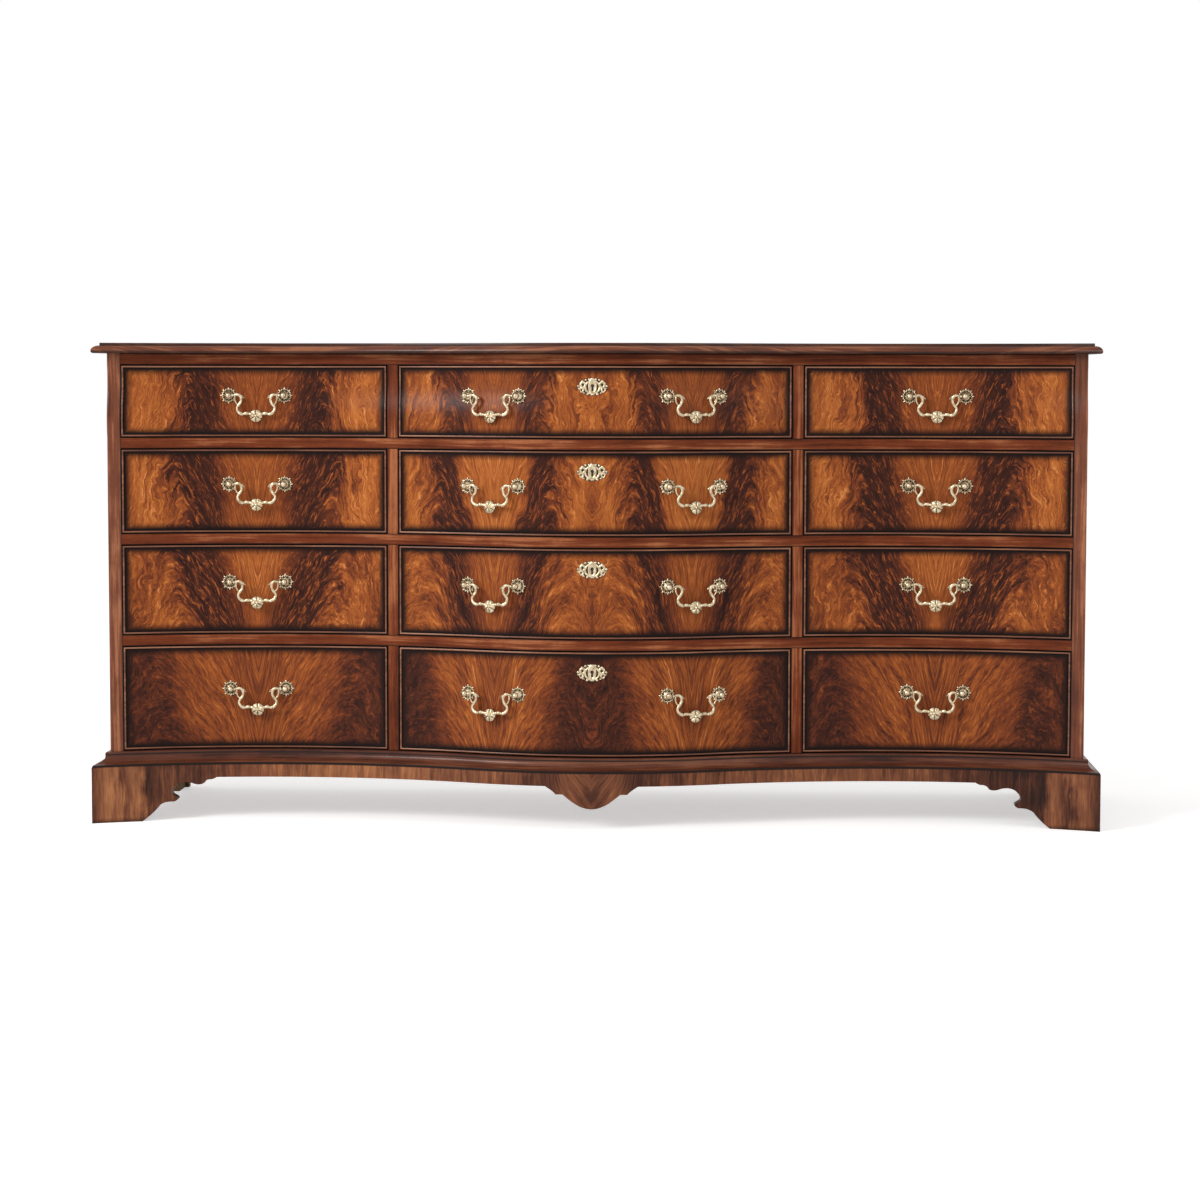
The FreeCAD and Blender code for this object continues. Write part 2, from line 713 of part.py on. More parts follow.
def post(board_here):
    # Shank through the board, collar on the rosette, neck, and a ball for the bail's pin
    tail = -(board_here + nut_thickness + shank_stub)
    collar_top = rosette_dome_height + post_collar_height
    neck_top = pivot_reach - math.sqrt(post_head_radius ** 2 - post_neck_radius ** 2)
    ball_top = pivot_reach + math.sqrt(post_head_radius ** 2 - post_neck_radius ** 2)
    return turned([
        line(at(0, tail), at(shank_radius, tail)),
        line(at(shank_radius, tail), at(shank_radius, rosette_dome_height)),
        line(at(shank_radius, rosette_dome_height), at(post_collar_radius, rosette_dome_height)),
        line(at(post_collar_radius, rosette_dome_height), at(post_collar_radius, collar_top)),
        line(at(post_collar_radius, collar_top), at(post_neck_radius, collar_top)),
        line(at(post_neck_radius, collar_top), at(post_neck_radius, neck_top)),
        arc(at(post_neck_radius, neck_top), at(post_head_radius, pivot_reach),
            at(post_neck_radius, ball_top)),
        line(at(post_neck_radius, ball_top), at(0, ball_top + post_tip_height)),
        line(at(0, ball_top + post_tip_height), at(0, tail)),
    ])


def rosette():
    # A thin scalloped and pierced plate with a dome in the middle
    dome_foot = at(rosette_dome_radius, rosette_waist_height)
    dome_top = at(post_collar_radius, rosette_dome_height)
    dome_middle = (dome_foot + dome_top) / 2 + at(rosette_rim, rosette_rim)
    rim_middle = (rosette_radius + rosette_dome_radius) / 2
    plate = turned([
        line(at(shank_radius, -rosette_skirt), at(rosette_radius, -rosette_skirt)),
        line(at(rosette_radius, -rosette_skirt), at(rosette_radius, rosette_rim)),
        arc(at(rosette_radius, rosette_rim), at(rim_middle, rosette_roll_height), dome_foot),
        arc(dome_foot, dome_middle, dome_top),
        line(dome_top, at(shank_radius, rosette_dome_height)),
        line(at(shank_radius, rosette_dome_height), at(shank_radius, -rosette_skirt)),
    ])
    depth = 2 * overrun
    cuts = []
    for lobe in range(rosette_lobes):
        step = 2 * math.pi / rosette_lobes
        notch_turn = (lobe + 1 / 2) * step
        notch = vector(math.sin(notch_turn), -overrun / rosette_radius, math.cos(notch_turn))
        cuts.append(Part.makeCylinder(rosette_notch_radius, depth, notch * rosette_radius, y_axis))
        hole_turn = lobe * step
        hole = vector(math.sin(hole_turn), -overrun / rosette_hole_place, math.cos(hole_turn))
        cuts.append(Part.makeCylinder(rosette_hole_radius, depth, hole * rosette_hole_place, y_axis))
    return plate.cut(cuts)


def nut(board_here):
    # A nut on the board's inner face
    corners = []
    for corner in range(nut_sides + 1):
        angle = 2 * math.pi * corner / nut_sides
        run, rise = nut_radius * math.cos(angle), nut_radius * math.sin(angle)
        corners.append(vector(run, board_here - rosette_skirt, rise))
    blank = Part.Face(Part.makePolygon(corners)).extrude(vector(0, nut_thickness + rosette_skirt))
    hole_depth = 2 * overrun + front_thickness
    return blank.cut(Part.makeCylinder(shank_radius, hole_depth, vector(0, 0), y_axis))


def pivot(x, out):
    return vector(x, front_y(x)) + outward(x) * out


def post_places(x, out):
    # The feet of a pull's two posts, moved until their hinge points are the spacing apart
    half = post_spacing / 2
    for _ in range(spacing_rounds):
        gap = (pivot(x + half, out) - pivot(x - half, out)).Length
        half *= post_spacing / gap
    return x - half, x + half


def pull_frame(row, x):
    # Height of a pull, the feet of its posts, and the place of its hinge line
    z = row_low[row] + row_heights[row - 1] * pull_height_share
    out = pivot_reach + face_offset(row, z)
    left, right = post_places(x, out)
    span = pivot(right, out) - pivot(left, out)
    middle = (pivot(right, out) + pivot(left, out)) / 2 + z_axis * z
    turned_by = FreeCAD.Rotation(z_axis, math.degrees(math.atan2(span.y, span.x)))
    return z, (left, right), FreeCAD.Placement(middle, turned_by)


def ogee_tilt(row, z):
    # Lean of the ogee at a height, from the radius of the arc there
    if row != 1:
        return 0.0
    height, sense = ogee_arc(z)[1:]
    return -sense * math.asin((z - height) / ogee_radius)


def fitted_parts(row, foot, z, out, board, blank):
    # Rosette, post and nut round the origin, with the seats cut to the board's two faces
    board_here = front_thickness + out
    near_board = moved(board, stance(foot, z, out).inverse())
    shaft = post(board_here)
    tilted = blank.copy()
    tilted.rotate(origin, x_axis, math.degrees(ogee_tilt(row, z)))
    return tilted.cut([near_board, shaft]), shaft, nut(board_here).cut(near_board)


def pull_fittings(row, x, board, blank, fitted):
    # Rosettes, posts and nuts of one pull, and the holes that its shanks need in the board.
    # The parts differ only with the face: plain or ogee, on the bow or in a hollow.
    z, feet, hinge = pull_frame(row, x)
    out = face_offset(row, z)
    half = post_spacing / 2
    bore_start = half - post_head_radius - overrun
    bore_length = half + pin_depth + pin_end_gap - bore_start
    pieces = []
    holes = []
    for side, foot in zip((-1, 1), feet):
        kind = (row == 1, abs(foot) > joint_x(0))
        if kind not in fitted:
            fitted[kind] = fitted_parts(row, foot, z, out, board, blank)
        plate, shaft, fastener = [moved(part, stance(foot, z, out)) for part in fitted[kind]]
        start = vector(side * bore_start, 0)
        bore = Part.makeCylinder(pin_radius + pin_play, bore_length, start, x_axis * side)
        pieces += [plate, shaft.cut(moved(bore, hinge)), fastener]
        hole_length = 2 * overrun + front_thickness
        hole = Part.makeCylinder(shank_radius + shank_play, hole_length, vector(0, -overrun), y_axis)
        holes.append(moved(hole, stance(foot, z, out)))
    return pieces, holes


def rounded_path(points, radius):
    # Straight runs between the points, with an arc tangent to both runs at each inner point
    edges = []
    last = points[0]
    for before, corner, after in zip(points, points[1:], points[2:]):
        inward = (before - corner).normalize()
        onward = (after - corner).normalize()
        half_angle = inward.getAngle(onward) / 2
        length = radius / math.tan(half_angle)
        bisector = (inward + onward).normalize()
        centre = corner + bisector * (radius / math.sin(half_angle))
        start = corner + inward * length
        end = corner + onward * length
        edges.append(line(last, start))
        edges.append(arc(start, centre - bisector * radius, end))
        last = end
    edges.append(line(last, points[-1]))
    return edges


def bail():
    # A swan-neck bail, with its hinge line on X: a bent rod, two pins and a flower in the middle
    half = post_spacing / 2
    shoulder = half - post_head_radius - bail_shoulder_gap
    right = [vector(shoulder, 0)]
    right += [vector(half * run, 0, -bail_drop * drop) for run, drop in bail_corner_shares]
    left = [vector(-point.x, 0, point.z) for point in reversed(right)]
    route = Part.Wire(rounded_path(right + [vector(0, 0, -bail_drop)] + left, bail_bend))
    section = Part.Wire(Part.makeCircle(bail_radius, right[0], x_axis))
    rod = route.makePipeShell([section], True, False)
    pins = []
    for side in (-1, 1):
        length = half + pin_depth - shoulder
        pins.append(Part.makeCylinder(pin_radius, length, vector(side * shoulder, 0), x_axis * side))
    face = bail_flower_thickness / 2
    rim = bail_flower_rim / 2
    corners = [
        at(0, -face), at(bail_flower_face_radius, -face), at(bail_flower_radius, -rim),
        at(bail_flower_radius, rim), at(bail_flower_face_radius, face), at(0, face), at(0, -face),
    ]
    flower = turned([line(start, end) for start, end in zip(corners, corners[1:])])
    flower.translate(vector(0, 0, -bail_drop))
    return rod.fuse(pins + [flower]).removeSplitter()


def keyhole(z, depth):
    round_part = Part.makeCylinder(keyhole_radius, depth, vector(0, far_front, z), y_axis)
    half = keyhole_slot / 2
    slot = block(-half, half, far_front, far_front + depth, z - keyhole_length, z)
    return round_part.fuse(slot).removeSplitter()


def lock_fittings(row):
    # Pierced escutcheon, lock case and bolt, and the keyhole that they need in the board
    high = row_high[row] - drawer_clearance
    z = high - lock_drop
    depth = back_y - far_front
    oval = Part.Ellipse(origin, escutcheon_oval_rise, escutcheon_oval_half).toShape()
    oval_face = Part.Face(Part.Wire(oval))
    oval_face.rotate(origin, y_axis, math.degrees(math.pi / 2))
    oval_face.rotate(origin, x_axis, math.degrees(math.pi / 2))
    oval_face.rotate(origin, z_axis, math.degrees(math.pi / 2))
    oval_face.translate(vector(0, far_front, z))
    plate = oval_face.extrude(vector(0, depth))
    discs = []
    for run, rise in escutcheon_disc_shares:
        place = vector(run * escutcheon_disc_radius, far_front, z + rise * escutcheon_disc_radius)
        discs.append(Part.makeCylinder(escutcheon_disc_radius, depth, place, y_axis))
    holes = [keyhole(z, depth)]
    for run, rise in escutcheon_pierced_shares:
        place = vector(run * escutcheon_disc_radius, far_front, z + rise * escutcheon_disc_radius)
        holes.append(Part.makeCylinder(escutcheon_hole_radius, depth, place, y_axis))
    reach = escutcheon_disc_radius * escutcheon_skin_share
    skin_front = face_edges(row, escutcheon_thickness, z - reach, z + reach)
    skin_back = face_edges(row, 0, z - reach, z + reach)
    skin_top = line(skin_front[-1].lastVertex().Point, skin_back[-1].lastVertex().Point)
    skin_low = line(skin_back[0].firstVertex().Point, skin_front[0].firstVertex().Point)
    skin_edges = skin_front + [skin_top] + list(reversed(skin_back)) + [skin_low]
    skin = along_front(skin_edges, -reach, reach, z - reach, z + reach)
    plate = plate.fuse(discs).removeSplitter().cut(holes).common(skin)
    rear = front_y(0, -front_thickness) + lock_thickness
    low = high - lock_height
    case = straight_backed(-lock_half_width, lock_half_width, -front_thickness, rear, low, high)
    bolt_rear = rear - (lock_thickness - bolt_thickness) / 2
    bolt_room = block(-bolt_half_width, bolt_half_width, bolt_rear - bolt_thickness, bolt_rear,
                      high - bolt_height, high)
    return [plate, case.cut(bolt_room), bolt_room], keyhole(z, front_y(0, -front_thickness) - far_front)


def write(name, pieces):
    shape = pieces[0] if len(pieces) == 1 else Part.makeCompound(pieces)
    shape.exportStep("parts/" + name + ".step")
    print(name, len(shape.Solids), round(shape.Volume))


def write_drawer(row, column, blank, fitted, hanging):
    name = "row%d_%s" % (row, column)
    board = drawer_board(row, column)
    fittings = []
    holes = []
    for place, x in pull_places[column].items():
        pieces, pull_holes = pull_fittings(row, x, board, blank, fitted)
        fittings += pieces
        holes += pull_holes
        write(name + "_bail" + place, [moved(hanging, pull_frame(row, x)[2])])
    if column == "centre":
        pieces, hole = lock_fittings(row)
        fittings += pieces
        holes.append(hole)
    write(name + "_front", [board.cut(holes)] + drawer_beads(row, column))
    write(name + "_box", drawer_box(row, column))
    write(name + "_fittings", fittings)


write("top_panel", top_panel())
write("side_panels", side_panels())
write("back_panel", back_panel())
write("face_frame", face_frame())
write("partitions_and_runners", partitions_and_runners())
write("bottom_board", bottom_board())
write("base_moulding", base_moulding())
write("bracket_feet", bracket_feet())
rosette_blank = rosette()
hanging_bail = bail()
fitted_kinds = {}
for row in (1, 2, 3, 4):
    for column in columns:
        write_drawer(row, column, rosette_blank, fitted_kinds, hanging_bail)
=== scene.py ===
import json
import math
import bmesh
import bpy
import numpy as np
from mathutils import Matrix, Vector

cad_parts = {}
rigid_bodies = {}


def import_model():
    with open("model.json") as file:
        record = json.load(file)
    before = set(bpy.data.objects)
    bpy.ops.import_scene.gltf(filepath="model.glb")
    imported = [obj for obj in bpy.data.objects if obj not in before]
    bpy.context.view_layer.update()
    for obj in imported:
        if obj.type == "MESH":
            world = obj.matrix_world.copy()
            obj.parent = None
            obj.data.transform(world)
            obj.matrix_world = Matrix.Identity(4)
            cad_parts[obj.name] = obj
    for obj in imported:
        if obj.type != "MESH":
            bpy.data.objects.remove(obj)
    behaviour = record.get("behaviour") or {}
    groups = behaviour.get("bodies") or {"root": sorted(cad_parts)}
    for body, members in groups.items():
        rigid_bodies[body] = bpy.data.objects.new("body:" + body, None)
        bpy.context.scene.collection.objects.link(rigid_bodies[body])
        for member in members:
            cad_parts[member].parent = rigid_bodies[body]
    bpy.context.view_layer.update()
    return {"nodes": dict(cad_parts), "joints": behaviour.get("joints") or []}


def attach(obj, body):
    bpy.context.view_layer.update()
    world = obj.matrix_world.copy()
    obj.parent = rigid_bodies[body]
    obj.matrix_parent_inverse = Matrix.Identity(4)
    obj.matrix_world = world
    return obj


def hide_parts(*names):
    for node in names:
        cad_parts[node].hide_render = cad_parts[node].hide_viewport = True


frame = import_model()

# The line of the front in plan, in metres: a bow in the middle between two hollows
line = {
    "hollowPlace": 0.570, "hollowY": -0.1445, "centreBow": 0.109, "endBow": 0.063,
    "halfCase": 0.913, "backY": 0.2805,
}
endRun = line["halfCase"] - line["hollowPlace"]
hollowRadius = (endRun ** 2 + line["endBow"] ** 2) / (2 * line["endBow"])
turn = 2 * math.atan(line["centreBow"] / line["hollowPlace"])
bowRadius = line["hollowPlace"] / math.sin(turn) - hollowRadius
bowCentreY = line["hollowY"] - line["centreBow"] + bowRadius
hollowCentreY = line["hollowY"] - hollowRadius

# Heights of the drawer rows, top row first, and the columns' openings
rows = {1: (0.72325, 0.85925), 2: (0.5425, 0.702), 3: (0.35125, 0.52125), 4: (0.1325, 0.330)}
columns = {"left": (-0.8885, -0.391), "centre": (-0.3695, 0.3695), "right": (0.391, 0.8885)}
caseTop = 0.8805
plinthHeight = 0.106
frameThickness = 0.020
sharpAngle = 35
ogeeShape = {"setback": 0.004, "swell": 0.0033}


def frontLine(x, offset=0.0):
    # y of the front at x: the bow's circle inside the joint, a hollow's circle outside it, both moved out by offset
    side = np.abs(x)
    joint = (bowRadius + offset) * math.sin(turn)
    bow = bowCentreY - np.sqrt((bowRadius + offset) ** 2 - np.minimum(side, joint) ** 2)
    run = np.maximum(side, joint) - line["hollowPlace"]
    hollow = hollowCentreY + np.sqrt((hollowRadius - offset) ** 2 - run ** 2)
    return np.where(side <= joint, bow, hollow)


def ogee(z):
    # Offset of the top row's face: two equal arcs on a leaning chord, the lower swelling and the upper hollowing
    low, high = rows[1]
    setback, swell = ogeeShape["setback"], ogeeShape["swell"]
    height = high - low
    chord = math.hypot(height, setback)
    radius = ((chord / 4) ** 2 + swell ** 2) / (2 * swell)
    run, rise = (radius - swell) * height / chord, (radius - swell) * setback / chord
    z = np.clip(z, low, high)
    lower = -setback / 4 - run + np.sqrt(radius ** 2 - (z - low - height / 4 + rise) ** 2)
    upper = run - setback * 3 / 4 - np.sqrt(radius ** 2 - (z - high + height / 4 - rise) ** 2)
    return np.where(z <= (low + high) / 2, lower, upper)


def faceOffset(row, z):
    return ogee(z) if row == 1 else np.zeros_like(z)


def placed(name, data):
    # An object with the data given, at the origin
    piece = bpy.data.objects.new(name, data)
    bpy.context.scene.collection.objects.link(piece)
    return piece


def addPiece(name, points, faces, body="root", replaces=(), slot="mahogany", materials=(), indices=None,
             uvs=None, attributes=None):
    # Mesh from points, a list or a grid of them, and faces, which are turned outward.
    # uvs and attributes give values per point; an attribute may be smaller than the grid and is spread over it.
    mesh = bpy.data.meshes.new(name)
    mesh.from_pydata(np.reshape(points, (-1, 3)), [], faces)
    for label, values in (attributes or {}).items():
        spread = np.broadcast_to(values, np.shape(points)[:-1]).astype(np.float32)
        mesh.attributes.new(label, "FLOAT", "POINT").data.foreach_set("value", spread.ravel())
    if indices is not None:
        mesh.polygons.foreach_set("material_index", np.asarray(indices, np.int32))
    corner = np.zeros(len(mesh.loops), np.int32)
    mesh.loops.foreach_get("vertex_index", corner)
    for label, values in (uvs or {}).items():
        flat = np.reshape(values, (-1, 2)).astype(np.float32)
        mesh.uv_layers.new(name=label).data.foreach_set("uv", flat[corner].ravel())
    work = bmesh.new()
    work.from_mesh(mesh)
    bmesh.ops.recalc_face_normals(work, faces=work.faces)
    work.to_mesh(mesh)
    work.free()
    mesh.shade_smooth()
    mesh.set_sharp_from_angle(angle=math.radians(sharpAngle))
    for material in materials:
        mesh.materials.append(material)
    piece = placed(name, mesh)
    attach(piece, body)
    if replaces:
        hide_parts(*replaces)


def stacked(*coordinates):
    # Coordinates of fitting shapes, or numbers, as one array of points
    return np.stack(np.broadcast_arrays(*coordinates), -1)


def gridFaces(rowCount, columnCount, start=0, closed=False):
    # Quads of a grid of points, with the last column joined to the first when it is closed
    i = np.arange(rowCount - 1)[:, None]
    j = np.arange(columnCount if closed else columnCount - 1)[None, :]
    after = (j + 1) % columnCount
    quads = stacked(i * columnCount + j, i * columnCount + after, (i + 1) * columnCount + after,
                    (i + 1) * columnCount + j)
    return (quads.reshape(-1, 4) + start).tolist()


def tubeFaces(count, size):
    # Faces of a row of closed rings, with an end face at each end
    return gridFaces(count, size, closed=True) + [list(range(size)), list(range((count - 1) * size, count * size))]


def runLength(points):
    # Length along a line of points up to each one
    steps = np.linalg.norm(np.diff(points, axis=0), axis=1)
    return np.concatenate([[0.0], np.cumsum(steps)])


def spanned(start, end, near, middle=()):
    # Places at the distances near from both ends of a span, with the middle ones between them
    return np.concatenate([start + near, middle, (end - near)[::-1]])


def softened(corners, radius):
    # A closed outline with each corner cut by a quarter-like curve of the radius
    corners = np.asarray(corners, float)
    before = np.roll(corners, 1, 0) - corners
    after = np.roll(corners, -1, 0) - corners
    before /= np.linalg.norm(before, axis=1)[:, None]
    after /= np.linalg.norm(after, axis=1)[:, None]
    t = np.array([0.0, 0.3, 0.7, 1.0])[None, :, None]
    start = (corners + before * radius)[:, None]
    end = (corners + after * radius)[:, None]
    curve = (1 - t) ** 2 * start + 2 * t * (1 - t) * corners[:, None] + t ** 2 * end
    return curve.reshape(-1, 2)


def sweepFront(name, profile, stations, edge, grainUp=False, rounding=0.0, **settings):
    # A closed section of (offset, z) carried along the front at the stations of x, with an end face at each end.
    # edge is the distance of each point from an edge of the face; rounding is the radius of the case's corner.
    x = stations[:, None]
    past = np.clip(np.abs(x) - line["halfCase"] + rounding, 0, rounding)
    drop = rounding - np.sqrt(rounding ** 2 - past ** 2)
    offset, z = profile.T[:, None, :]
    offset = np.where(offset > -frameThickness / 2, offset - drop, offset)
    grid = stacked(x, frontLine(x, offset), z)
    along = runLength(stacked(stations, frontLine(stations)))[:, None]
    uv = stacked(z, x) if grainUp else stacked(along, runLength(profile)[None, :])
    addPiece(name, grid, tubeFaces(*grid.shape[:2]), uvs={"grain": uv}, attributes={"edge": edge}, **settings)


def aroundCase(name, profile, edge, board=False, **settings):
    # A section of (offset, z) carried along the left side, the front and the right side, mitred at the corners.
    # edge is the distance of each point of the section from an arris. A board is closed across the case.
    offset, z = profile.T[:, None, :]
    half = line["halfCase"] + offset
    t = np.linspace(0, 1, 8)[:-1, None]
    s = np.linspace(-1, 1, 161)[:, None]
    sideY = line["backY"] + (frontLine(half, offset) - line["backY"]) * t
    sideX = np.broadcast_to(half, sideY.shape)
    x = np.concatenate([-sideX, s * half, sideX])
    y = np.concatenate([sideY, frontLine(s * half, offset), sideY[::-1]])
    count, size = x.shape
    if board:
        top = [size * k for k in range(count)]
        ends = list(range(size)) + list(range((count - 1) * size, count * size))[::-1]
        faces = gridFaces(count, size) + [top, [k + size - 1 for k in top], ends]
        uv = stacked(x, y + z)
    else:
        faces = tubeFaces(count, size)
        uv = stacked(runLength(stacked(x[:, 0], y[:, 0]))[:, None], runLength(profile)[None, :])
    addPiece(name, stacked(x, y, z), faces, uvs={"grain": uv}, attributes={"edge": edge}, **settings)


def curveThrough(start, middle, end, count):
    # Points on a quadratic curve through three points, which passes the middle one halfway
    t = np.linspace(0, 1, count)[:, None]
    start, middle, end = map(np.asarray, (start, middle, end))
    pull = 2 * middle - (start + end) / 2
    return (1 - t) ** 2 * start + 2 * t * (1 - t) * pull + t ** 2 * end


class Wire:
    # One output of a node. An expression on wires adds the Math nodes that work it out.
    def __init__(self, tree, socket):
        self.tree = tree
        self.socket = socket

    def math(self, operation, *values):
        return addNode(self.tree, "Math", {"operation": operation}, dict(enumerate(values)))

    def __add__(self, other):
        return self.math("ADD", self, other)

    __radd__ = __add__

    def __sub__(self, other):
        return self.math("SUBTRACT", self, other)

    def __rsub__(self, other):
        return self.math("SUBTRACT", other, self)

    def __mul__(self, other):
        return self.math("MULTIPLY", self, other)

    __rmul__ = __mul__

    def __pow__(self, other):
        return self.math("POWER", self, other)

    def __abs__(self):
        return self.math("ABSOLUTE", self)

    def clipped(self):
        return addNode(self.tree, "Clamp", {}, {0: self})

    def step(self, low, high):
        # 0 below low, 1 above high, smooth between
        return addNode(self.tree, "MapRange", {"interpolation_type": "SMOOTHSTEP"}, {0: self, 1: low, 2: high})


def plug(socket, value):
    # Links a wire to the socket, or sets the socket to a value
    if isinstance(value, Wire):
        value.tree.links.new(value.socket, socket)
    else:
        socket.default_value = value


def addNode(tree, kind, settings, inputs, output=0):
    # One shader node of any kind: its settings first, then the values or wires of its sockets
    node = tree.nodes.new("ShaderNode" + kind)
    for name, value in settings.items():
        if name == "stops":
            elements = node.color_ramp.elements
            while len(elements) < len(value):
                elements.new(0.5)
            for element, (place, colour) in zip(elements, value):
                element.position = place
                element.color = (*colour, 1.0) if isinstance(colour, tuple) else (colour, colour, colour, 1.0)
        else:
            setattr(node, name, value)
    for name, value in inputs.items():
        plug(node.inputs[name], value)
    return Wire(tree, node.outputs[output])


shaderSockets = {"colour": "Base Color", "roughness": "Roughness", "metallic": "Metallic", "normal": "Normal",
                 "coat": "Coat Weight", "coatRoughness": "Coat Roughness", "specular": "Specular IOR Level"}


def feed(shader, **inputs):
    for name, value in inputs.items():
        plug(shader.inputs[shaderSockets[name]], value)


def newMaterial(name, **values):
    material = bpy.data.materials.new(name)
    material.use_nodes = True
    tree = material.node_tree
    shader = tree.nodes["Principled BSDF"]
    feed(shader, **{"coatRoughness": 0.2, **values})
    return material, tree, shader


def split(wire):
    # The three values of a vector
    parts = addNode(wire.tree, "SeparateXYZ", {}, {0: wire}).socket.node.outputs
    return [Wire(wire.tree, part) for part in parts]


def noise(vector, detail=3.0, roughness=0.55, distortion=0.0, scale=1.0):
    # Noise at a vector, or at a place given by three values, the first of them a wire
    if isinstance(vector, tuple):
        vector = addNode(vector[0].tree, "CombineXYZ", {}, dict(enumerate(vector)))
    return addNode(vector.tree, "TexNoise", {}, {"Vector": vector, "Scale": scale, "Detail": detail,
                                                 "Roughness": roughness, "Distortion": distortion})


def ramp(wire, stops, interpolation="EASE"):
    node = addNode(wire.tree, "ValToRGB", {"stops": stops}, {0: wire})
    node.socket.node.color_ramp.interpolation = interpolation
    return node


def blendColour(factor, first, second):
    # The first colour where the factor is 0, the second where it is 1
    return addNode(factor.tree, "Mix", {"data_type": "RGBA"}, {0: factor, 6: first, 7: second}, output=2)


def bumped(height, strength, distance=0.0004):
    return addNode(height.tree, "Bump", {}, {"Height": height, "Strength": strength, "Distance": distance})


def objectPlace(tree):
    return addNode(tree, "TexCoord", {}, {}, output=3)


def ownMap(tree, name):
    return split(addNode(tree, "UVMap", {"uv_map": name}, {}))


def attribute(tree, name):
    return addNode(tree, "Attribute", {"attribute_name": name}, {}, output=2)


# Plain woods: the dark, middle and light tones, then roughness, coat and specular
plainWood = {
    "mahogany": (((0.062, 0.0185, 0.0095), (0.138, 0.0370, 0.0155), (0.300, 0.1050, 0.0470)), 0.33, 0.12, 0.20),
    "moulding": (((0.036, 0.0110, 0.0068), (0.100, 0.0290, 0.0150), (0.190, 0.0660, 0.0320)), 0.30, 0.12, 0.16),
    "railWood": (((0.068, 0.0145, 0.0050), (0.160, 0.0345, 0.0115), (0.360, 0.1200, 0.0480)), 0.36, 0.03, 0.07),
    # The corner stiles' tones are lighter and pinker than the rails' as painted sheen
    "stileWood": (((0.080, 0.0210, 0.0090), (0.170, 0.0480, 0.0210), (0.380, 0.1400, 0.0620)), 0.33, 0.10, 0.18),
    # The bead's tones are lighter than the rails' to paint a highlight along its round
    "beadWood": (((0.100, 0.0330, 0.0170), (0.200, 0.0720, 0.0360), (0.330, 0.1400, 0.0750)), 0.30, 0.15, 0.25),
    "caseSide": (((0.055, 0.0140, 0.0065), (0.130, 0.0310, 0.0115), (0.220, 0.0620, 0.0240)), 0.34, 0.12, 0.20),
    "drawerLining": (((0.295, 0.1580, 0.0760), (0.405, 0.2320, 0.1140), (0.495, 0.3040, 0.1600)), 0.62, 0.00, 0.25),
    "secondaryWood": (((0.185, 0.0980, 0.0500), (0.265, 0.1480, 0.0770), (0.330, 0.1920, 0.1040)), 0.68, 0.00, 0.25),
}
# Near black, for painted shade along gaps, creases and edges where parts meet
paintedShade = (0.010, 0.0045, 0.0036, 1.0)


def woodMaterial(name, along=None, lit=None):
    # Grain is noise drawn out along the board: broad bands, streaks and short dark pores.
    # along names the object axis of the grain, or the piece's own grain map is read.
    # lit gives pairs of distances from an edge between which near-black painted shade turns into the lit wood and
    # back.
    tones, roughness, coat, specular = plainWood[name]
    material, tree, shader = newMaterial(name, coat=coat, specular=specular)
    if along is None:
        run, width = ownMap(tree, "grain")[:2]
        depth = 0.0
    else:
        axes = split(objectPlace(tree))
        run, width, depth = [axes[("xyz".index(along) + k) % 3] for k in range(3)]
    wave = noise((run * 2.2, width * 9, depth * 9), 2.0)
    across = width + wave * 0.012
    bands = noise((run * 1.4, across * 34, depth * 34), 3.0)
    streaks = noise((run * 7, across * 190, depth * 190), 4.0, 0.6)
    pores = noise((run * 75, across * 1500, depth * 1500), 2.0).step(0.60, 0.74)
    patches = noise((run * 11, width * 20, depth * 20), 3.0)
    tone = (bands * 0.46 + streaks * 0.40 + patches * 0.26 - pores * 0.16).clipped()
    colour = ramp(tone, tuple(zip((0.43, 0.54, 0.65), tones)))
    if lit:
        distance = attribute(tree, "edge")
        unshaded = distance.step(*lit[0])
        if len(lit) > 1:
            unshaded = unshaded * (1.0 - distance.step(*lit[1]))
        colour = blendColour(unshaded, paintedShade, colour)
    rub = noise((run * 9, width * 12, depth * 12), 3.0)
    feed(shader, colour=colour, roughness=rub * 0.16 + (roughness - 0.08),
         normal=bumped(streaks * 0.4 - pores, 0.10))
    return material


# Figured veneer of the drawer fronts, top row first. Places run from a leaf's middle, 0, to its outer edge, 1.
# The columns are the glow, which is the brightness at places, and its spread, which widens it upward. The strokes
# follow nested arches: their axis' place, its outward tilt, their radius at the top, which is the bend, and the
# slope of their legs. Then the strengths of the strokes, of the bright curls in the dark and of the bands; a seed.
sideVeneer = {
    1: (((0.00, 0.52), (0.20, 0.46), (0.31, 0.08), (0.50, 0.06), (0.61, 0.46), (0.78, 0.74), (1.00, 0.62)),
        0.05, 0.50, 0.10, 0.012, 3.6, 0.75, 0.50, 0.06, 1.3),
    2: (((0.00, 0.58), (0.20, 0.52), (0.31, 0.09), (0.52, 0.07), (0.66, 0.46), (0.82, 0.76), (1.00, 0.56)),
        0.12, 0.56, 0.15, 0.014, 3.2, 0.80, 0.52, 0.08, 4.7),
    3: (((0.00, 0.66), (0.11, 0.58), (0.23, 0.10), (0.46, 0.08), (0.63, 0.42), (0.82, 0.58), (1.00, 0.40)),
        0.26, 0.62, 0.20, 0.030, 3.0, 0.85, 0.52, 0.22, 8.1),
    4: (((0.00, 0.46), (0.18, 0.50), (0.38, 0.50), (0.56, 0.38), (0.68, 0.19), (1.00, 0.15)),
        0.16, 0.72, 0.15, 0.070, 2.8, 1.05, 0.20, 0.20, 12.9),
}
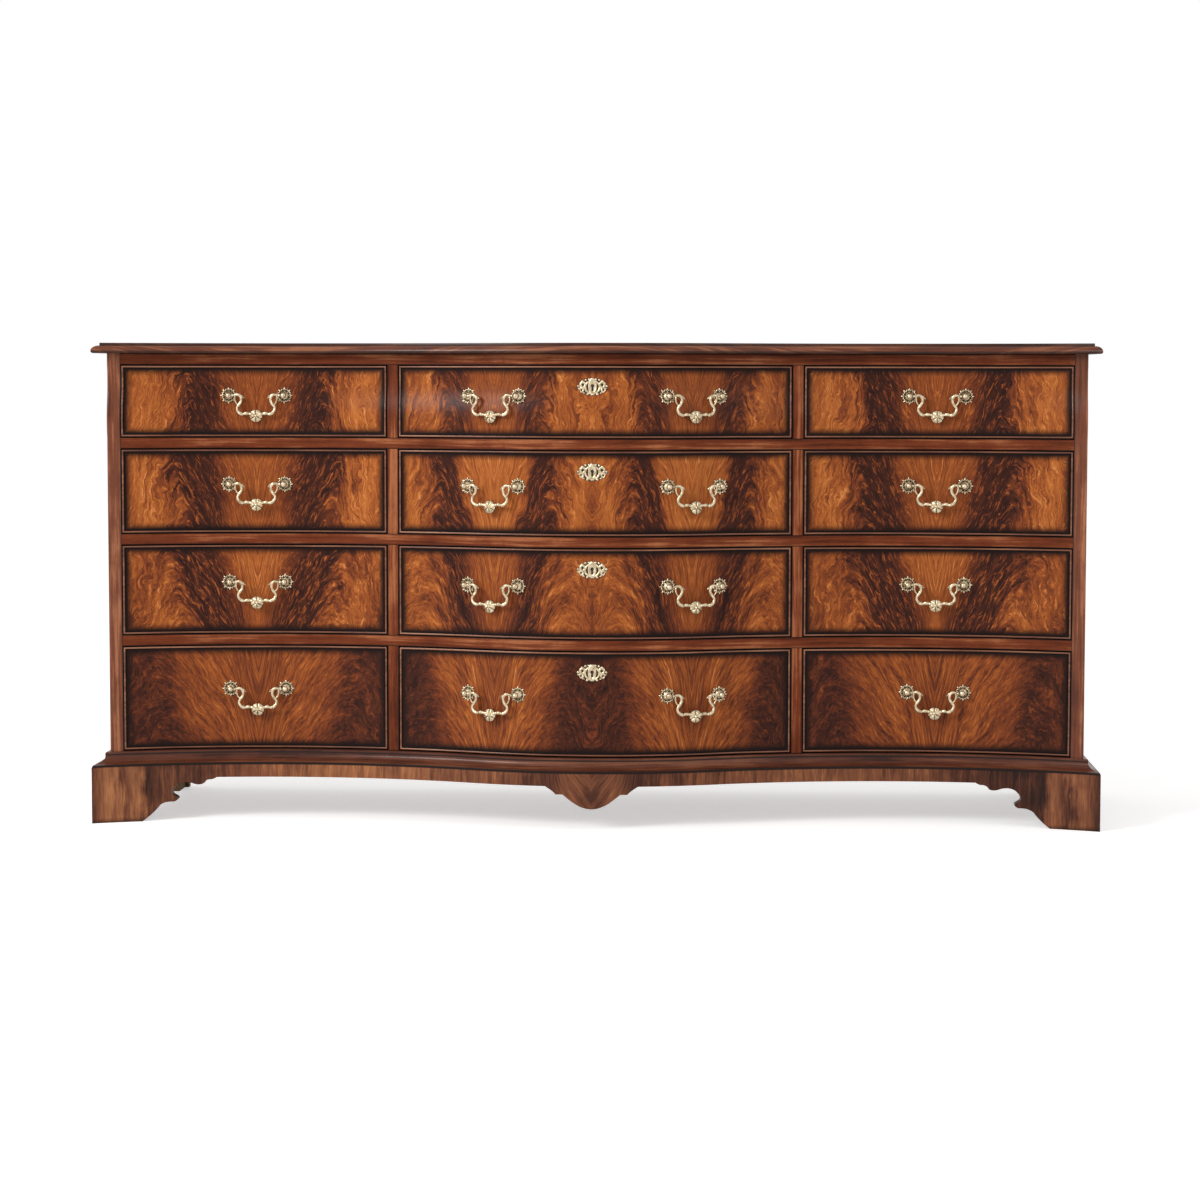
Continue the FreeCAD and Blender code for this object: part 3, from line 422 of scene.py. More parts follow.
centreVeneer = {
    1: (((0.00, 0.54), (0.22, 0.50), (0.34, 0.14), (0.50, 0.22), (0.66, 0.70), (0.82, 0.50), (1.00, 0.68)),
        0.06, 0.52, 0.10, 0.012, 3.2, 0.80, 0.42, 0.08, 21.4),
    2: (((0.00, 0.72), (0.28, 0.64), (0.33, 0.10), (0.52, 0.10), (0.68, 0.50), (0.86, 0.74), (1.00, 0.52)),
        0.14, 0.58, 0.10, 0.012, 3.0, 0.72, 0.45, 0.08, 25.2),
    3: (((0.00, 0.60), (0.15, 0.46), (0.28, 0.09), (0.46, 0.14), (0.62, 0.56), (0.80, 0.59), (1.00, 0.50)),
        0.20, 0.74, 0.05, 0.034, 2.8, 0.90, 0.42, 0.28, 31.6),
    4: (((0.00, 0.46), (0.22, 0.58), (0.44, 0.52), (0.58, 0.36), (0.68, 0.14), (1.00, 0.11)),
        0.16, 0.66, 0.10, 0.055, 2.8, 1.05, 0.16, 0.16, 37.8),
}
veneerTones = ((0.02, (0.018, 0.0062, 0.0048)), (0.17, (0.052, 0.0145, 0.0085)), (0.36, (0.150, 0.0350, 0.0125)),
               (0.56, (0.300, 0.0760, 0.0180)), (0.76, (0.480, 0.1440, 0.0300)), (0.95, (0.700, 0.3000, 0.1050)))


def flameVeneer(name, row, leafWidth, leaves):
    # Crotch figure. level is constant along nested arches about the leaf's axis: height + slope * (distance - bend),
    # and drops quickly across the leaf's middle, where the strokes stand nearly upright.
    # Noise drawn out along the arches makes the strokes, and moves the glow's border so that it runs out in flames.
    # leaves is 1 or 2 to a drawer, each mirrored about its middle.
    glowStops, spread, axis, tilt, bend, slope, stroke, curl, ring, seed = row
    material, tree, shader = newMaterial(name, coat=0.04, coatRoughness=0.25, specular=0.07)
    side, up = ownMap(tree, "field")[:2]
    run, height = ownMap(tree, "grain")[:2]
    place = abs(side) if leaves == 1 else abs(abs(side) - 0.5) * 2
    seed = seed + attribute(tree, "seed") * 3
    x = place * leafWidth
    drift = noise((x * 16 + run * 2.2, height * 13, seed), 3.0) - 0.5
    ripple = noise((x * 62 + run * 6, height * 46, seed + 3), 3.0, 0.6) - 0.5
    sway = x - axis * leafWidth - (height - 0.08) * tilt + drift * 0.050 + ripple * 0.010
    arch = (sway * sway + bend ** 2) ** 0.5 - bend
    level = height + arch * slope - x.math("MINIMUM", x, 0.045) * 4 + drift * 0.05 + ripple * 0.022
    broad = noise((level * 34, x * 20, height * 12 + seed), 4.0, 0.6) - 0.5
    strokes = noise((level * 105, x * 42, height * 24 + seed), 4.0, 0.65) - 0.5
    fine = noise((level * 330, x * 130, height * 70 + seed), 3.0, 0.6) - 0.5
    curled = noise((level * 62, x * 60, height * 34 + seed + 9), 4.0, 0.62, 1.4)
    bands = noise((level * 46, x * 3, height * 2 + seed + 17), 3.0) - 0.5
    pores = noise((run * 1300, height * 90, seed), 2.0).step(0.60, 0.75)
    spot = place + broad * 0.34 + strokes * 0.16 + drift * 0.20 - (up - 0.45) * spread
    glow = ramp(spot.clipped(), glowStops, "LINEAR")
    marks = (broad * 0.9 + strokes * 1.1 + fine * 0.8) * stroke
    curls = curled.step(0.49, 0.66) * (1.0 - glow) * curl
    tone = glow * 0.80 + 0.06 + marks * (glow * 0.85 + 0.38) + curls * (strokes * 2.2 + 0.75)
    tone = tone + bands * ring - pores * 0.05
    colour = ramp(tone.clipped(), veneerTones, "LINEAR")
    # Painted shade beside the bead: near black within about a millimetre of it; the field also darkens toward its
    # edges over about 17 mm, clouded by noise
    edge = attribute(tree, "edge")
    cloud = noise((run * 22, height * 22, seed + 23), 3.0) - 0.5
    awayFromDarkEdge = ((edge.step(0.0008, 0.017) + cloud * 0.30) * edge.step(0.0010, 0.0048)).clipped()
    colour = blendColour(awayFromDarkEdge, paintedShade, colour)
    feed(shader, colour=colour, roughness=cloud * 0.14 + 0.30,
         normal=bumped(marks * 0.5 - pores, 0.04))
    return material


plinthVeneer = {
    "glow": ((0.0, 0.46), (0.045, 0.60), (0.085, 0.24), (0.17, 0.58), (0.42, 0.76), (0.62, 0.62), (0.76, 0.26),
             (0.835, 0.28), (0.853, 0.66), (0.868, 0.74), (0.877, 0.46), (0.888, 0.78), (0.915, 0.74), (0.94, 0.30)),
    "tones": ((0.05, (0.026, 0.0105, 0.0075)), (0.30, (0.090, 0.0300, 0.0165)), (0.55, (0.215, 0.0760, 0.0350)),
              (0.85, (0.430, 0.1750, 0.0700))),
}


def plinthMaterial(name, values):
    # Upright veneer on the plinth. The glow follows the distance from the middle: bright feet, dark scrolls, a paler
    # apron. Painted shade makes all of it a little darker toward the right. On the pendant the strokes lean outward
    # as they rise, into a V.
    # Painted shade darkens the upper edge under the moulding and the feet's soles by the floor.
    material, tree, shader = newMaterial(name, coat=0.05, specular=0.10)
    height, along = ownMap(tree, "grain")[:2]
    away = abs(along)
    drift = noise((along * 18, height * 14, 3.0), 3.0) - 0.5
    ripple = noise((along * 70, height * 40, 5.0), 3.0) - 0.5
    lean = (1.0 - away.step(0.04, 0.11)) * height * 0.7
    across = away - lean + along * 0.001 + height * 0.10 * drift + ripple * 0.004
    broad = noise((across * 95, height * 9, 11.0), 4.0, 0.6) - 0.5
    strokes = noise((across * 330, height * 26, 13.0), 4.0, 0.6) - 0.5
    glow = ramp(away + drift * 0.05 + broad * 0.03, values["glow"], "LINEAR")
    # along * 0.08 is painted shade, darker toward the right
    tone = glow * 0.80 + broad * 0.80 + strokes * 0.60 + drift * 0.45 - along * 0.08
    colour = ramp(tone.clipped(), values["tones"], "LINEAR")
    # Painted shade at the upper edge and at the soles
    edges = (height.step(-0.004, 0.011) + drift * 0.5).clipped() * (1.0 - height.step(0.1035, 0.1058))
    colour = blendColour(edges, paintedShade, colour)
    feed(shader, colour=colour, roughness=drift * 0.2 + 0.38, normal=bumped(strokes, 0.05))
    return material


def brassMaterial(name):
    # Old brass: a pale warm metal, mottled brown, and nearly black where the casting lies hollow, as painted shade in
    # its openings and creases
    material, tree, shader = newMaterial(name)
    place = objectPlace(tree)
    cloud, grime = noise(place, 4.0, scale=160.0), noise(place, scale=620.0)
    tone = (cloud * 0.6 + grime * 0.4).clipped()
    colour = ramp(tone, ((0.34, (0.31, 0.22, 0.125)), (0.48, (0.60, 0.485, 0.315)), (0.64, (0.88, 0.765, 0.56))))
    # Painted shade: near black where the attribute marks the casting hollow
    hollow = (attribute(tree, "hollow") + (grime - 0.5) * 0.4).step(0.15, 0.85)
    colour = blendColour(hollow, colour, (0.030, 0.018, 0.010, 1.0))
    feed(shader, colour=colour, roughness=grime * 0.25 + 0.24 + hollow * 0.3, metallic=1.0 - hollow * 0.7,
         normal=bumped(grime, 0.15))
    return material


print("materials")
# The lit spans leave painted shade at the top's step and nose, along the rails' and stiles' edges beside the drawer
# gaps, on both sides of each bead and at the ends of the moulding's hollow
mahogany = woodMaterial("mahogany", lit=[(-0.0014, 0.0028)])
railWood = woodMaterial("railWood", lit=[(0.0001, 0.0034)])
beadWood = woodMaterial("beadWood", lit=[(-0.0040, -0.0030), (-0.0014, -0.0004)])
stileWood = woodMaterial("stileWood", lit=[(0.0001, 0.0030)])
mouldingWood = woodMaterial("moulding", lit=[(0.0001, 0.0024)])
footVeneer = plinthMaterial("footVeneer", plinthVeneer)
caseSide = woodMaterial("caseSide", along="z")
drawerLining = woodMaterial("drawerLining", along="y")
secondaryWood = woodMaterial("secondaryWood", along="x")
brass = brassMaterial("agedBrass")

print("top, rails and stiles")
# The moulded edge: a flat step above a quarter round, and a small nose under it
topEdge = {"overhang": 0.022, "setback": 0.013, "step": 0.005, "nose": 0.004, "thickness": 0.0195}


def topProfile():
    reach, low = topEdge["overhang"], caseTop
    high = low + topEdge["thickness"]
    stepX = reach - topEdge["setback"]
    stepZ, noseZ = high - topEdge["step"], low + topEdge["nose"]
    t = np.linspace(0, math.pi / 2, 10)
    quarter = stacked(stepX + topEdge["setback"] * np.sin(t), noseZ + (stepZ - noseZ) * np.cos(t))
    down = runLength(quarter)
    nose = stacked(reach - topEdge["nose"] * (1 - np.cos(t)), noseZ - topEdge["nose"] * np.sin(t))
    ease = [(-0.03, high), (stepX - 0.0008, high), (stepX - 0.0002, high - 0.0002), (stepX, high - 0.0008)]
    edge = np.concatenate([[0.03, 0.0, 0.0, 0.0], np.minimum(down, down[-1] - down), np.zeros(len(nose))])
    return np.concatenate([ease, quarter, nose[1:], [(-0.03, low)]]), edge


section, distance = topProfile()
aroundCase("topBoard", section, distance, board=True, replaces=["top_panel"], materials=[mahogany])

moulding = {"proud": 0.026, "fillet": 0.007, "filletHeight": 0.005, "foot": 0.0025, "topGap": 0.0015}


def mouldingProfile():
    low, high = plinthHeight, rows[4][0] - moulding["topGap"]
    proud, fillet = moulding["proud"], moulding["fillet"]
    filletLow, footHigh = high - moulding["filletHeight"], low + moulding["foot"]
    middle = (fillet + (proud - fillet) * 0.2, filletLow - (filletLow - footHigh) * 0.58)
    hollow = curveThrough((fillet, filletLow), middle, (proud, footHigh), 14)
    top = [(0.0, low), (0.0, high), (fillet - 0.0012, high), (fillet, high - 0.0012)]
    down = runLength(hollow)
    edge = np.concatenate([[0.0, 0.0, 0.003, 0.003], np.minimum(down, down[-1] - down), [0.0]])
    return np.concatenate([top, hollow, [(proud, low)]]), edge


section, distance = mouldingProfile()
aroundCase("caseMoulding", section, distance, replaces=["base_moulding"], materials=[mouldingWood])

inner = -frameThickness
outerX = columns["right"][1]
railStations = np.linspace(-outerX, outerX, 145)
# Distances from an edge at which a face has a line of points
nearEdge = np.array([0.0, 0.0004, 0.0015, 0.004])
eased = np.array([0.0006, 0.0, 0.0, 0.0])
levels = [plinthHeight, *rows[4], *rows[3], *rows[2], *rows[1], caseTop]
railNames = ("baseRail", "lowRail", "middleRail", "highRail", "topRail")
for name, low, high in zip(railNames, levels[::2], levels[1::2]):
    face = float(ogee(rows[1][1])) if name == "topRail" else 0.0
    section = stacked(face - np.concatenate([eased, eased[::-1]]), spanned(low, high, nearEdge))
    section = np.concatenate([section, [(inner, high), (inner, low)]])
    distance = np.concatenate([nearEdge, nearEdge[::-1], [0.0, 0.0]])[None, :]
    sweepFront(name, section, railStations, distance, materials=[railWood],
               replaces=["face_frame"] if name == "baseRail" else [])

ogeeZ = np.linspace(*rows[1], 24)
ogeeFace = stacked(ogee(ogeeZ), ogeeZ)
stileProfile = np.concatenate([[(inner, plinthHeight), (0.0, plinthHeight)], ogeeFace,
                               [(ogeeFace[-1, 0], caseTop), (inner, caseTop)]])
cornerRadius = 0.0050
sides = ((-1, "Left"), (1, "Right"))
arcSteps = np.sin(np.linspace(0, math.pi / 2, 8))
for side, label in sides:
    reach = np.concatenate([outerX + nearEdge, line["halfCase"] - cornerRadius * (1 - arcSteps)])
    reach = reach if side > 0 else -reach[::-1]
    sweepFront("cornerStile" + label, stileProfile, reach, np.abs(reach)[:, None] - outerX, grainUp=True,
               rounding=cornerRadius, materials=[stileWood])
    for row, (low, high) in rows.items():
        face = ogeeFace if row == 1 else [(0.0, low), (0.0, high)]
        section = np.concatenate([face, [(inner, high), (inner, low)]])
        start, end = columns["centre"][1], columns["right"][0]
        reach = spanned(start, end, nearEdge)
        distance = np.minimum(reach - start, end - reach)[:, None]
        reach = reach if side > 0 else -reach[::-1]
        sweepFront("innerStile%d%s" % (row, label), section, reach, distance, grainUp=True, materials=[railWood])

print("feet")
feet = {
    "proud": 0.027, "thickness": 0.022, "foot": 0.089, "run": 0.136, "sideRun": 0.105, "edge": 0.081,
    "pendantHalf": 0.0865, "shoulderHalf": 0.067, "shoulderDrop": 0.015, "lobeHalf": 0.054, "pendantDrop": 0.042,
    "lobeEase": 2.3, "rearLength": 0.130, "rearThickness": 0.020, "cornerBlock": 0.060, "centreBlock": 0.045,
    "blockGap": 0.003, "blockEase": 0.0015,
}
# The bracket's scroll: the middle and the end of each arc, in shares of its run and of its height
scroll = (
    ((0.12, 0.17), (0.22, 0.36)), ((0.31, 0.43), (0.42, 0.44)), ((0.47, 0.51), (0.42, 0.585)),
    ((0.39, 0.69), (0.463, 0.84)), ((0.55, 0.893), (0.66, 0.873)), ((0.743, 0.833), (0.816, 0.852)),
    ((0.86, 0.93), (0.934, 0.95)), ((0.97, 0.97), (1.0, 1.0)),
)


def scrollLine(start, run):
    # The scroll from a foot's inner corner up to the apron's edge. A negative run goes the other way.
    last = (0.0, 0.0)
    parts = [np.array([last])]
    for middle, end in scroll:
        parts.append(curveThrough(last, middle, end, 7)[1:])
        last = end
    return np.concatenate(parts) * (run, feet["edge"]) + (start, 0.0)


halfPlinth = line["halfCase"] + feet["proud"]


def frontOutline():
    # Closed outline of the front plinth in x and z
    edge, shoulderDrop = feet["edge"], feet["shoulderDrop"]
    pendantHalf, shoulderHalf, lobeHalf = feet["pendantHalf"], feet["shoulderHalf"], feet["lobeHalf"]
    left = scrollLine(feet["foot"] - halfPlinth, feet["run"])
    curve = shoulderHalf + (pendantHalf - shoulderHalf) * 0.28
    dip = curveThrough((-pendantHalf, edge), (-curve, edge - shoulderDrop * 0.62),
                       (-shoulderHalf, edge - shoulderDrop), 8)
    t = np.linspace(0, math.pi, 33)
    drop = shoulderDrop + (feet["pendantDrop"] - shoulderDrop) * np.sin(t) ** feet["lobeEase"]
    lobe = stacked(-lobeHalf * np.cos(t), edge - drop)
    half = np.concatenate([left, dip])
    right = half[::-1] * (-1, 1)
    ends = [(halfPlinth, 0.0), (halfPlinth, plinthHeight), (-halfPlinth, plinthHeight), (-halfPlinth, 0.0)]
    return np.concatenate([half, lobe, right, ends])


def sawnBoard(name, outline, place, cuts=(), **settings):
    # A flat outline, cut into strips at the cuts, given a thickness and laid by place(along, height, depth)
    work = bmesh.new()
    work.faces.new([work.verts.new((a, 0.0, z)) for a, z in outline.tolist()])
    for cut in cuts:
        everything = work.verts[:] + work.edges[:] + work.faces[:]
        bmesh.ops.bisect_plane(work, geom=everything, plane_co=(cut, 0, 0), plane_no=(1, 0, 0))
    made = bmesh.ops.extrude_face_region(work, geom=work.faces[:], use_keep_orig=True)
    bmesh.ops.translate(work, vec=(0, 1, 0), verts=[v for v in made["geom"] if isinstance(v, bmesh.types.BMVert)])
    bmesh.ops.recalc_face_normals(work, faces=work.faces[:])
    mesh = bpy.data.meshes.new(name)
    work.to_mesh(mesh)
    work.free()
    flat = np.zeros(len(mesh.vertices) * 3)
    mesh.vertices.foreach_get("co", flat)
    x, depth, z = flat.reshape(-1, 3).T
    faces = sorted(list(face.vertices) for face in mesh.polygons)  # The extrusion's own order differs between runs
    bpy.data.meshes.remove(mesh)
    addPiece(name, place(x, z, depth), faces, uvs={"grain": stacked(z, x + depth * 0.03)}, **settings)


def frontPlace(x, z, depth):
    return stacked(x, frontLine(x, feet["proud"] - feet["thickness"] * depth), z)


sawnBoard("frontPlinth", frontOutline(), frontPlace, np.linspace(-halfPlinth, halfPlinth, 130)[1:-1].tolist(),
          materials=[footVeneer], replaces=["bracket_feet"])

cornerY = float(frontLine(halfPlinth, feet["proud"]))
innerFace = feet["proud"] - feet["thickness"]
joinY = float(frontLine(halfPlinth, innerFace))
rearY = line["backY"] - feet["rearThickness"]
bareWood = {"materials": [secondaryWood], "slot": "secondary_wood"}


def between(start, end):
    # Lays an outline in x and z as a board that reaches from one y to another
    return lambda x, z, depth: stacked(x, start + (end - start) * depth, z)


for side, label in sides:
    front = scrollLine(cornerY + feet["foot"], feet["sideRun"])
    rear = scrollLine(line["backY"] - feet["foot"], -feet["sideRun"])[::-1]
    ends = [(line["backY"], 0.0), (line["backY"], plinthHeight), (joinY, plinthHeight)]
    outline = np.concatenate([[(joinY, 0.0)], front, rear, ends])
    sawnBoard("sidePlinth" + label, outline, lambda y, z, depth: stacked(
        side * (halfPlinth - feet["thickness"] * depth), y, z), materials=[footVeneer])
    # The rear bracket's inner end is a quarter round
    outerEnd = side * (halfPlinth - feet["thickness"])
    innerEnd = outerEnd - side * feet["rearLength"]
    foot = outerEnd - side * (feet["foot"] - feet["thickness"])
    t = np.linspace(0, math.pi / 2, 12)
    quarter = stacked(foot + (innerEnd - foot) * (1 - np.cos(t)), feet["edge"] * np.sin(t))
    ends = [(innerEnd, plinthHeight), (outerEnd, plinthHeight)]
    outline = np.concatenate([[(outerEnd, 0.0)], quarter, ends])
    sawnBoard("rearBracket" + label, outline, between(line["backY"], rearY), **bareWood)
    # Glue blocks: where each starts in x, its width, the y at which it starts and ends, and its lower end
    behind = [float(frontLine(x, innerFace)) for x in (outerEnd, feet["pendantHalf"])]
    gap, corner, centre = feet["blockGap"], feet["cornerBlock"], feet["centreBlock"]
    for title, start, width, y0, y1, low in (
            ("frontBlock", outerEnd, corner, behind[0] + gap, behind[0] + corner, 0.0),
            ("rearBlock", outerEnd, corner, rearY - corner, rearY, 0.0),
            ("middleBlock", side * feet["pendantHalf"], centre, behind[1] + gap, behind[1] + centre, feet["edge"])):
        end = start - side * width
        outline = softened([(start, low), (end, low), (end, plinthHeight), (start, plinthHeight)], feet["blockEase"])
        sawnBoard(title + label, outline, between(y0, y1), **bareWood)

print("drawer fronts")
# A leaf is half of a side drawer's veneer or a quarter of a centre one's; rightSeed varies the right column's figure
drawer = {"clearance": 0.0012, "beadWidth": 0.0045, "beadProud": 0.0022, "groove": 0.0004, "grooveHalf": 0.0003,
          "thickness": 0.020, "sideLeaf": 0.2476, "centreLeaf": 0.1842, "rightSeed": 0.31}


def beadRelief(distance):
    # Half round from the edge to the bead's width, a fine groove inside it, and the flat field beyond
    width, half = drawer["beadWidth"], drawer["grooveHalf"]
    across = np.clip(distance / width, 0, 1) * 2 - 1
    nose = drawer["beadProud"] * np.sqrt(np.clip(1 - across ** 2, 0, 1))
    groove = -drawer["groove"] * np.clip(1 - np.abs(distance - width - half) / half, 0, 1)
    return np.where(distance < width, nose, groove)


def edgeStations(start, end, count):
    # Places across a board: close together over the bead at each end and even between
    near = np.array([0.0, 0.02, 0.08, 0.18, 0.32, 0.5, 0.68, 0.82, 0.92, 0.98, 1.0]) * drawer["beadWidth"]
    near = np.concatenate([near, drawer["beadWidth"] + np.array([0.0003, 0.0006, 0.003])])
    return spanned(start, end, near, np.linspace(start + 0.014, end - 0.014, count))


def drawerFront(row, column, material, seed=0.0):
    # The beaded face, a back behind it on the same line of the front, and the rim between their borders
    low, high = rows[row][0] + drawer["clearance"], rows[row][1] - drawer["clearance"]
    left, right = columns[column][0] + drawer["clearance"], columns[column][1] - drawer["clearance"]
    bead = drawer["beadWidth"]
    x = edgeStations(left, right, 72 if column == "centre" else 52)[:, None]
    z = edgeStations(low, high, 26)[None, :]
    distance = np.minimum(np.minimum(x - left, right - x), np.minimum(z - low, high - z))
    front = stacked(x, frontLine(x, faceOffset(row, z) + beadRelief(distance)), z)
    back = stacked(x, frontLine(x, -drawer["thickness"]), z)
    count, size = distance.shape
    total = count * size
    wide = np.maximum.reduce([distance[a:count - 1 + a, b:size - 1 + b] for a in (0, 1) for b in (0, 1)]).ravel()
    border = np.concatenate([np.arange(size), np.arange(1, count) * size + size - 1,
                             (count - 1) * size + np.arange(size - 2, -1, -1), np.arange(count - 2, 0, -1) * size])
    after = np.roll(border, -1)
    rim = stacked(border, after, after + total, border + total).tolist()
    place = stacked(x - (left + right) / 2, z - low)
    grain = np.stack([place, place])
    addPiece("row%d%sFront" % (row, column.capitalize()), np.stack([front, back]),
             gridFaces(count, size) + gridFaces(count, size, start=total) + rim,
             body="row%d_%s_drawer" % (row, column), replaces=["row%d_%s_front" % (row, column)], slot="flame_veneer",
             materials=[material, beadWood, drawerLining],
             indices=np.where(wide <= bead + 1e-6, 1, 0).tolist() + [2] * len(wide) + [1] * len(rim),
             uvs={"field": grain / ((right - left) / 2, high - low), "grain": grain},
             attributes={"edge": np.stack([distance - bead, np.full_like(distance, -bead / 2)]), "seed": seed})


for row in rows:
    sideFlame = flameVeneer("flameSide%d" % row, sideVeneer[row], drawer["sideLeaf"], 1)
    centreFlame = flameVeneer("flameCentre%d" % row, centreVeneer[row], drawer["centreLeaf"], 2)
    drawerFront(row, "left", sideFlame)
    drawerFront(row, "centre", centreFlame)
    drawerFront(row, "right", sideFlame, drawer["rightSeed"])

print("pulls")
pull = {
    "halfSpacing": 0.0515, "reach": 0.017, "sunk": 0.0014, "shank": 0.0025, "nut": 0.006, "nutHeight": 0.004,
    "stub": 0.0025, "collar": 0.0048, "neck": 0.0034, "head": 0.0060,
}
# Middle line and radius of half a bail, in millimetres: from its pin inward round the scroll and down to the flower
bailLine = (
    (54.6, 0.0, 1.95), (47.0, 0.0, 1.95), (45.3, 0.0, 1.95), (44.9, 0.0, 3.0), (43.2, 0.2, 2.9), (41.6, 0.5, 2.3),
    (37.5, 1.4, 2.6), (33.0, 1.5, 3.3), (29.3, -1.2, 3.3), (27.4, -6.5, 3.0), (28.4, -12.5, 2.8), (32.0, -17.8, 3.1),
    (35.2, -22.6, 2.6), (34.6, -28.2, 3.0), (31.0, -32.8, 3.7), (26.0, -35.0, 3.8), (22.6, -34.8, 2.6),
    (18.4, -33.8, 3.9), (13.6, -34.3, 2.9), (9.0, -35.2, 3.8), (0.0, -36.5, 3.0),
)
# The leaf that points inward from the scroll, and the spur that closes it toward the post
leafLine = ((30.0, -0.6, 1.5), (27.0, -1.6, 2.6), (24.4, -3.2, 1.9), (21.6, -5.2, 0.5))
spurLine = ((38.6, 1.2, 1.3), (39.6, -4.0, 1.8), (38.9, -10.0, 1.5), (36.4, -15.0, 1.3), (33.0, -18.0, 1.5))
# Rosette: a smooth boss, a wavy ring of scrolls round it, and eight knobs at the points
rosette = {"boss": 0.0080, "bossHeight": 0.0058, "ring": 0.0118, "wave": 0.0011, "ringWidth": 0.0016,
           "ringHeight": 0.0021, "knobs": 8, "knobPlace": 0.0137, "knobRadius": 0.0019, "knobHeight": 0.0022,
           "spoke": 0.0007, "spokeHeight": 0.0014, "spokeFrom": 0.006, "edge": 0.0132, "floor": 0.0005}
flower = {"place": -0.0385, "radius": 0.0120, "floor": 0.0004, "petal": 0.0036, "button": 0.0034,
          "buttonHeight": 0.0052}


def merged(parts):
    # One set of points, faces and hollow values from several
    points, faces, hollows, start = [], [], [], 0
    for partPoints, partFaces, hollow in parts:
        points.append(partPoints)
        faces += [[corner + start for corner in face] for face in partFaces]
        hollows.append(hollow)
        start += len(partPoints)
    return np.concatenate(points), faces, np.concatenate(hollows)


def ridge(distance, width, height):
    # A half-round ridge over the distance from its line
    return height * np.sqrt(np.clip(1 - (distance / width) ** 2, 0, 1))


def rays(count):
    # Angles of a full turn in equal steps, as a row
    return np.linspace(0, 2 * math.pi, count, endpoint=False)[None, :]


def tube(grid, hollow=0.0):
    # Points, faces and hollow values of a grid whose rows are closed rings
    return grid.reshape(-1, 3), tubeFaces(*grid.shape[:2]), np.broadcast_to(hollow, grid.shape[:2]).ravel()


def polarRelief(outline, relief, floor, rings, spokes):
    # A flat-backed casting. outline(angle) is its edge and relief(x, z) its rise over the board;
    # hollow is 1 where the rise is less than half a millimetre and 0 above twice that, and there the brass is painted
    # near black as shade.
    angle = rays(spokes)
    share = np.concatenate([[0.02], np.linspace(0, 1, rings)[1:]])[:, None]
    x, z = share * outline(angle) * np.cos(angle), share * outline(angle) * np.sin(angle)
    rise = relief(x, z)
    grid = np.concatenate([stacked(x, -rise, z), stacked(x[-1:], floor, z[-1:])])
    hollow = np.clip(1 - (rise - 0.0005) / 0.0006, 0, 1)
    return tube(grid, np.concatenate([hollow, np.ones((1, spokes))]))


def turnedShape(profile, spokes):
    # A closed shape turned about Y from pairs of radius and y
    radius, y = np.asarray(profile).T[:, :, None]
    return tube(stacked(radius * np.cos(rays(spokes)), y, radius * np.sin(rays(spokes))))


def roundRod(controls, perSpan, spokes):
    # A rod in the plane of X and Z along a smooth line through the controls, whose radius changes as they say.
    # Each span is a cubic that leaves a control in the direction from the one before it to the one after.
    # Its thin necks count as hollow, where the brass is painted partly dark as shade.
    knots = np.asarray(controls) * 0.001
    ends = np.concatenate([[2 * knots[0] - knots[1]], knots, [2 * knots[-1] - knots[-2]]])
    t = np.linspace(0, 1, perSpan, endpoint=False)[None, :, None]
    a, b, c, d = [ends[k:len(ends) - 3 + k][:, None, :] for k in range(4)]
    track = 0.5 * (2 * b + (c - a) * t + (2 * a - 5 * b + 4 * c - d) * t ** 2 + (3 * b - a - 3 * c + d) * t ** 3)
    track = np.concatenate([track.reshape(-1, 3), knots[-1:]])
    way = np.gradient(track[:, :2], axis=0)
    way /= np.linalg.norm(way, axis=1)[:, None]
    x, z, radius = track.T[:, :, None]
    out = radius * np.cos(rays(spokes))
    grid = stacked(x + out * way[:, 1:], radius * np.sin(rays(spokes)), z - out * way[:, :1])
    hollow = np.clip((0.00255 - radius) / 0.0006, 0, 0.6) * (radius > 0.0018)
    return tube(grid, hollow)


def folded(angle, count):
    # Angle from the nearest of so many equal rays
    step = 2 * math.pi / count
    return np.mod(angle + step / 2, step) - step / 2


def rosetteEdge(angle):
    near = folded(angle, rosette["knobs"])
    reach = rosette["knobPlace"] + rosette["knobRadius"] - rosette["edge"]
    return rosette["edge"] + reach * np.exp(-(near / 0.12) ** 2)


def rosetteRelief(x, z):
    away, angle = np.hypot(x, z), np.arctan2(z, x)
    near = folded(angle, rosette["knobs"])
    boss = ridge(away, rosette["boss"], rosette["bossHeight"])
    ring = ridge(away - rosette["ring"] - rosette["wave"] * np.cos(2 * rosette["knobs"] * angle),
                 rosette["ringWidth"], rosette["ringHeight"])
    spoke = ridge(away * near, rosette["spoke"], rosette["spokeHeight"]) * (away > rosette["spokeFrom"])
    fromKnob = np.hypot(away * np.cos(near) - rosette["knobPlace"], away * np.sin(near))
    knob = ridge(fromKnob, rosette["knobRadius"], rosette["knobHeight"])
    # The floor between the raised parts counts as hollow, painted dark as shade through the openwork
    return np.maximum.reduce([boss, ring, spoke, knob, np.full_like(away, rosette["floor"])])


def petalShare(angle):
    # Six round-ended petals: 1 along the middle of each and 0 between two
    return np.sqrt(1 - (folded(angle, 6) / (math.pi / 6)) ** 2)


def flowerEdge(angle):
    return flower["radius"] * (0.80 + 0.20 * petalShare(angle))


def flowerRelief(x, z):
    # The petals round a button
    away, angle = np.hypot(x, z), np.arctan2(z, x)
    petal = petalShare(angle) * np.sin(math.pi * np.clip(away / flower["radius"], 0, 1) ** 0.8)
    button = ridge(away, flower["button"], flower["buttonHeight"])
    # The floor between the petals counts as hollow, painted dark as shade
    return np.maximum(flower["floor"] + flower["petal"] * petal, button)


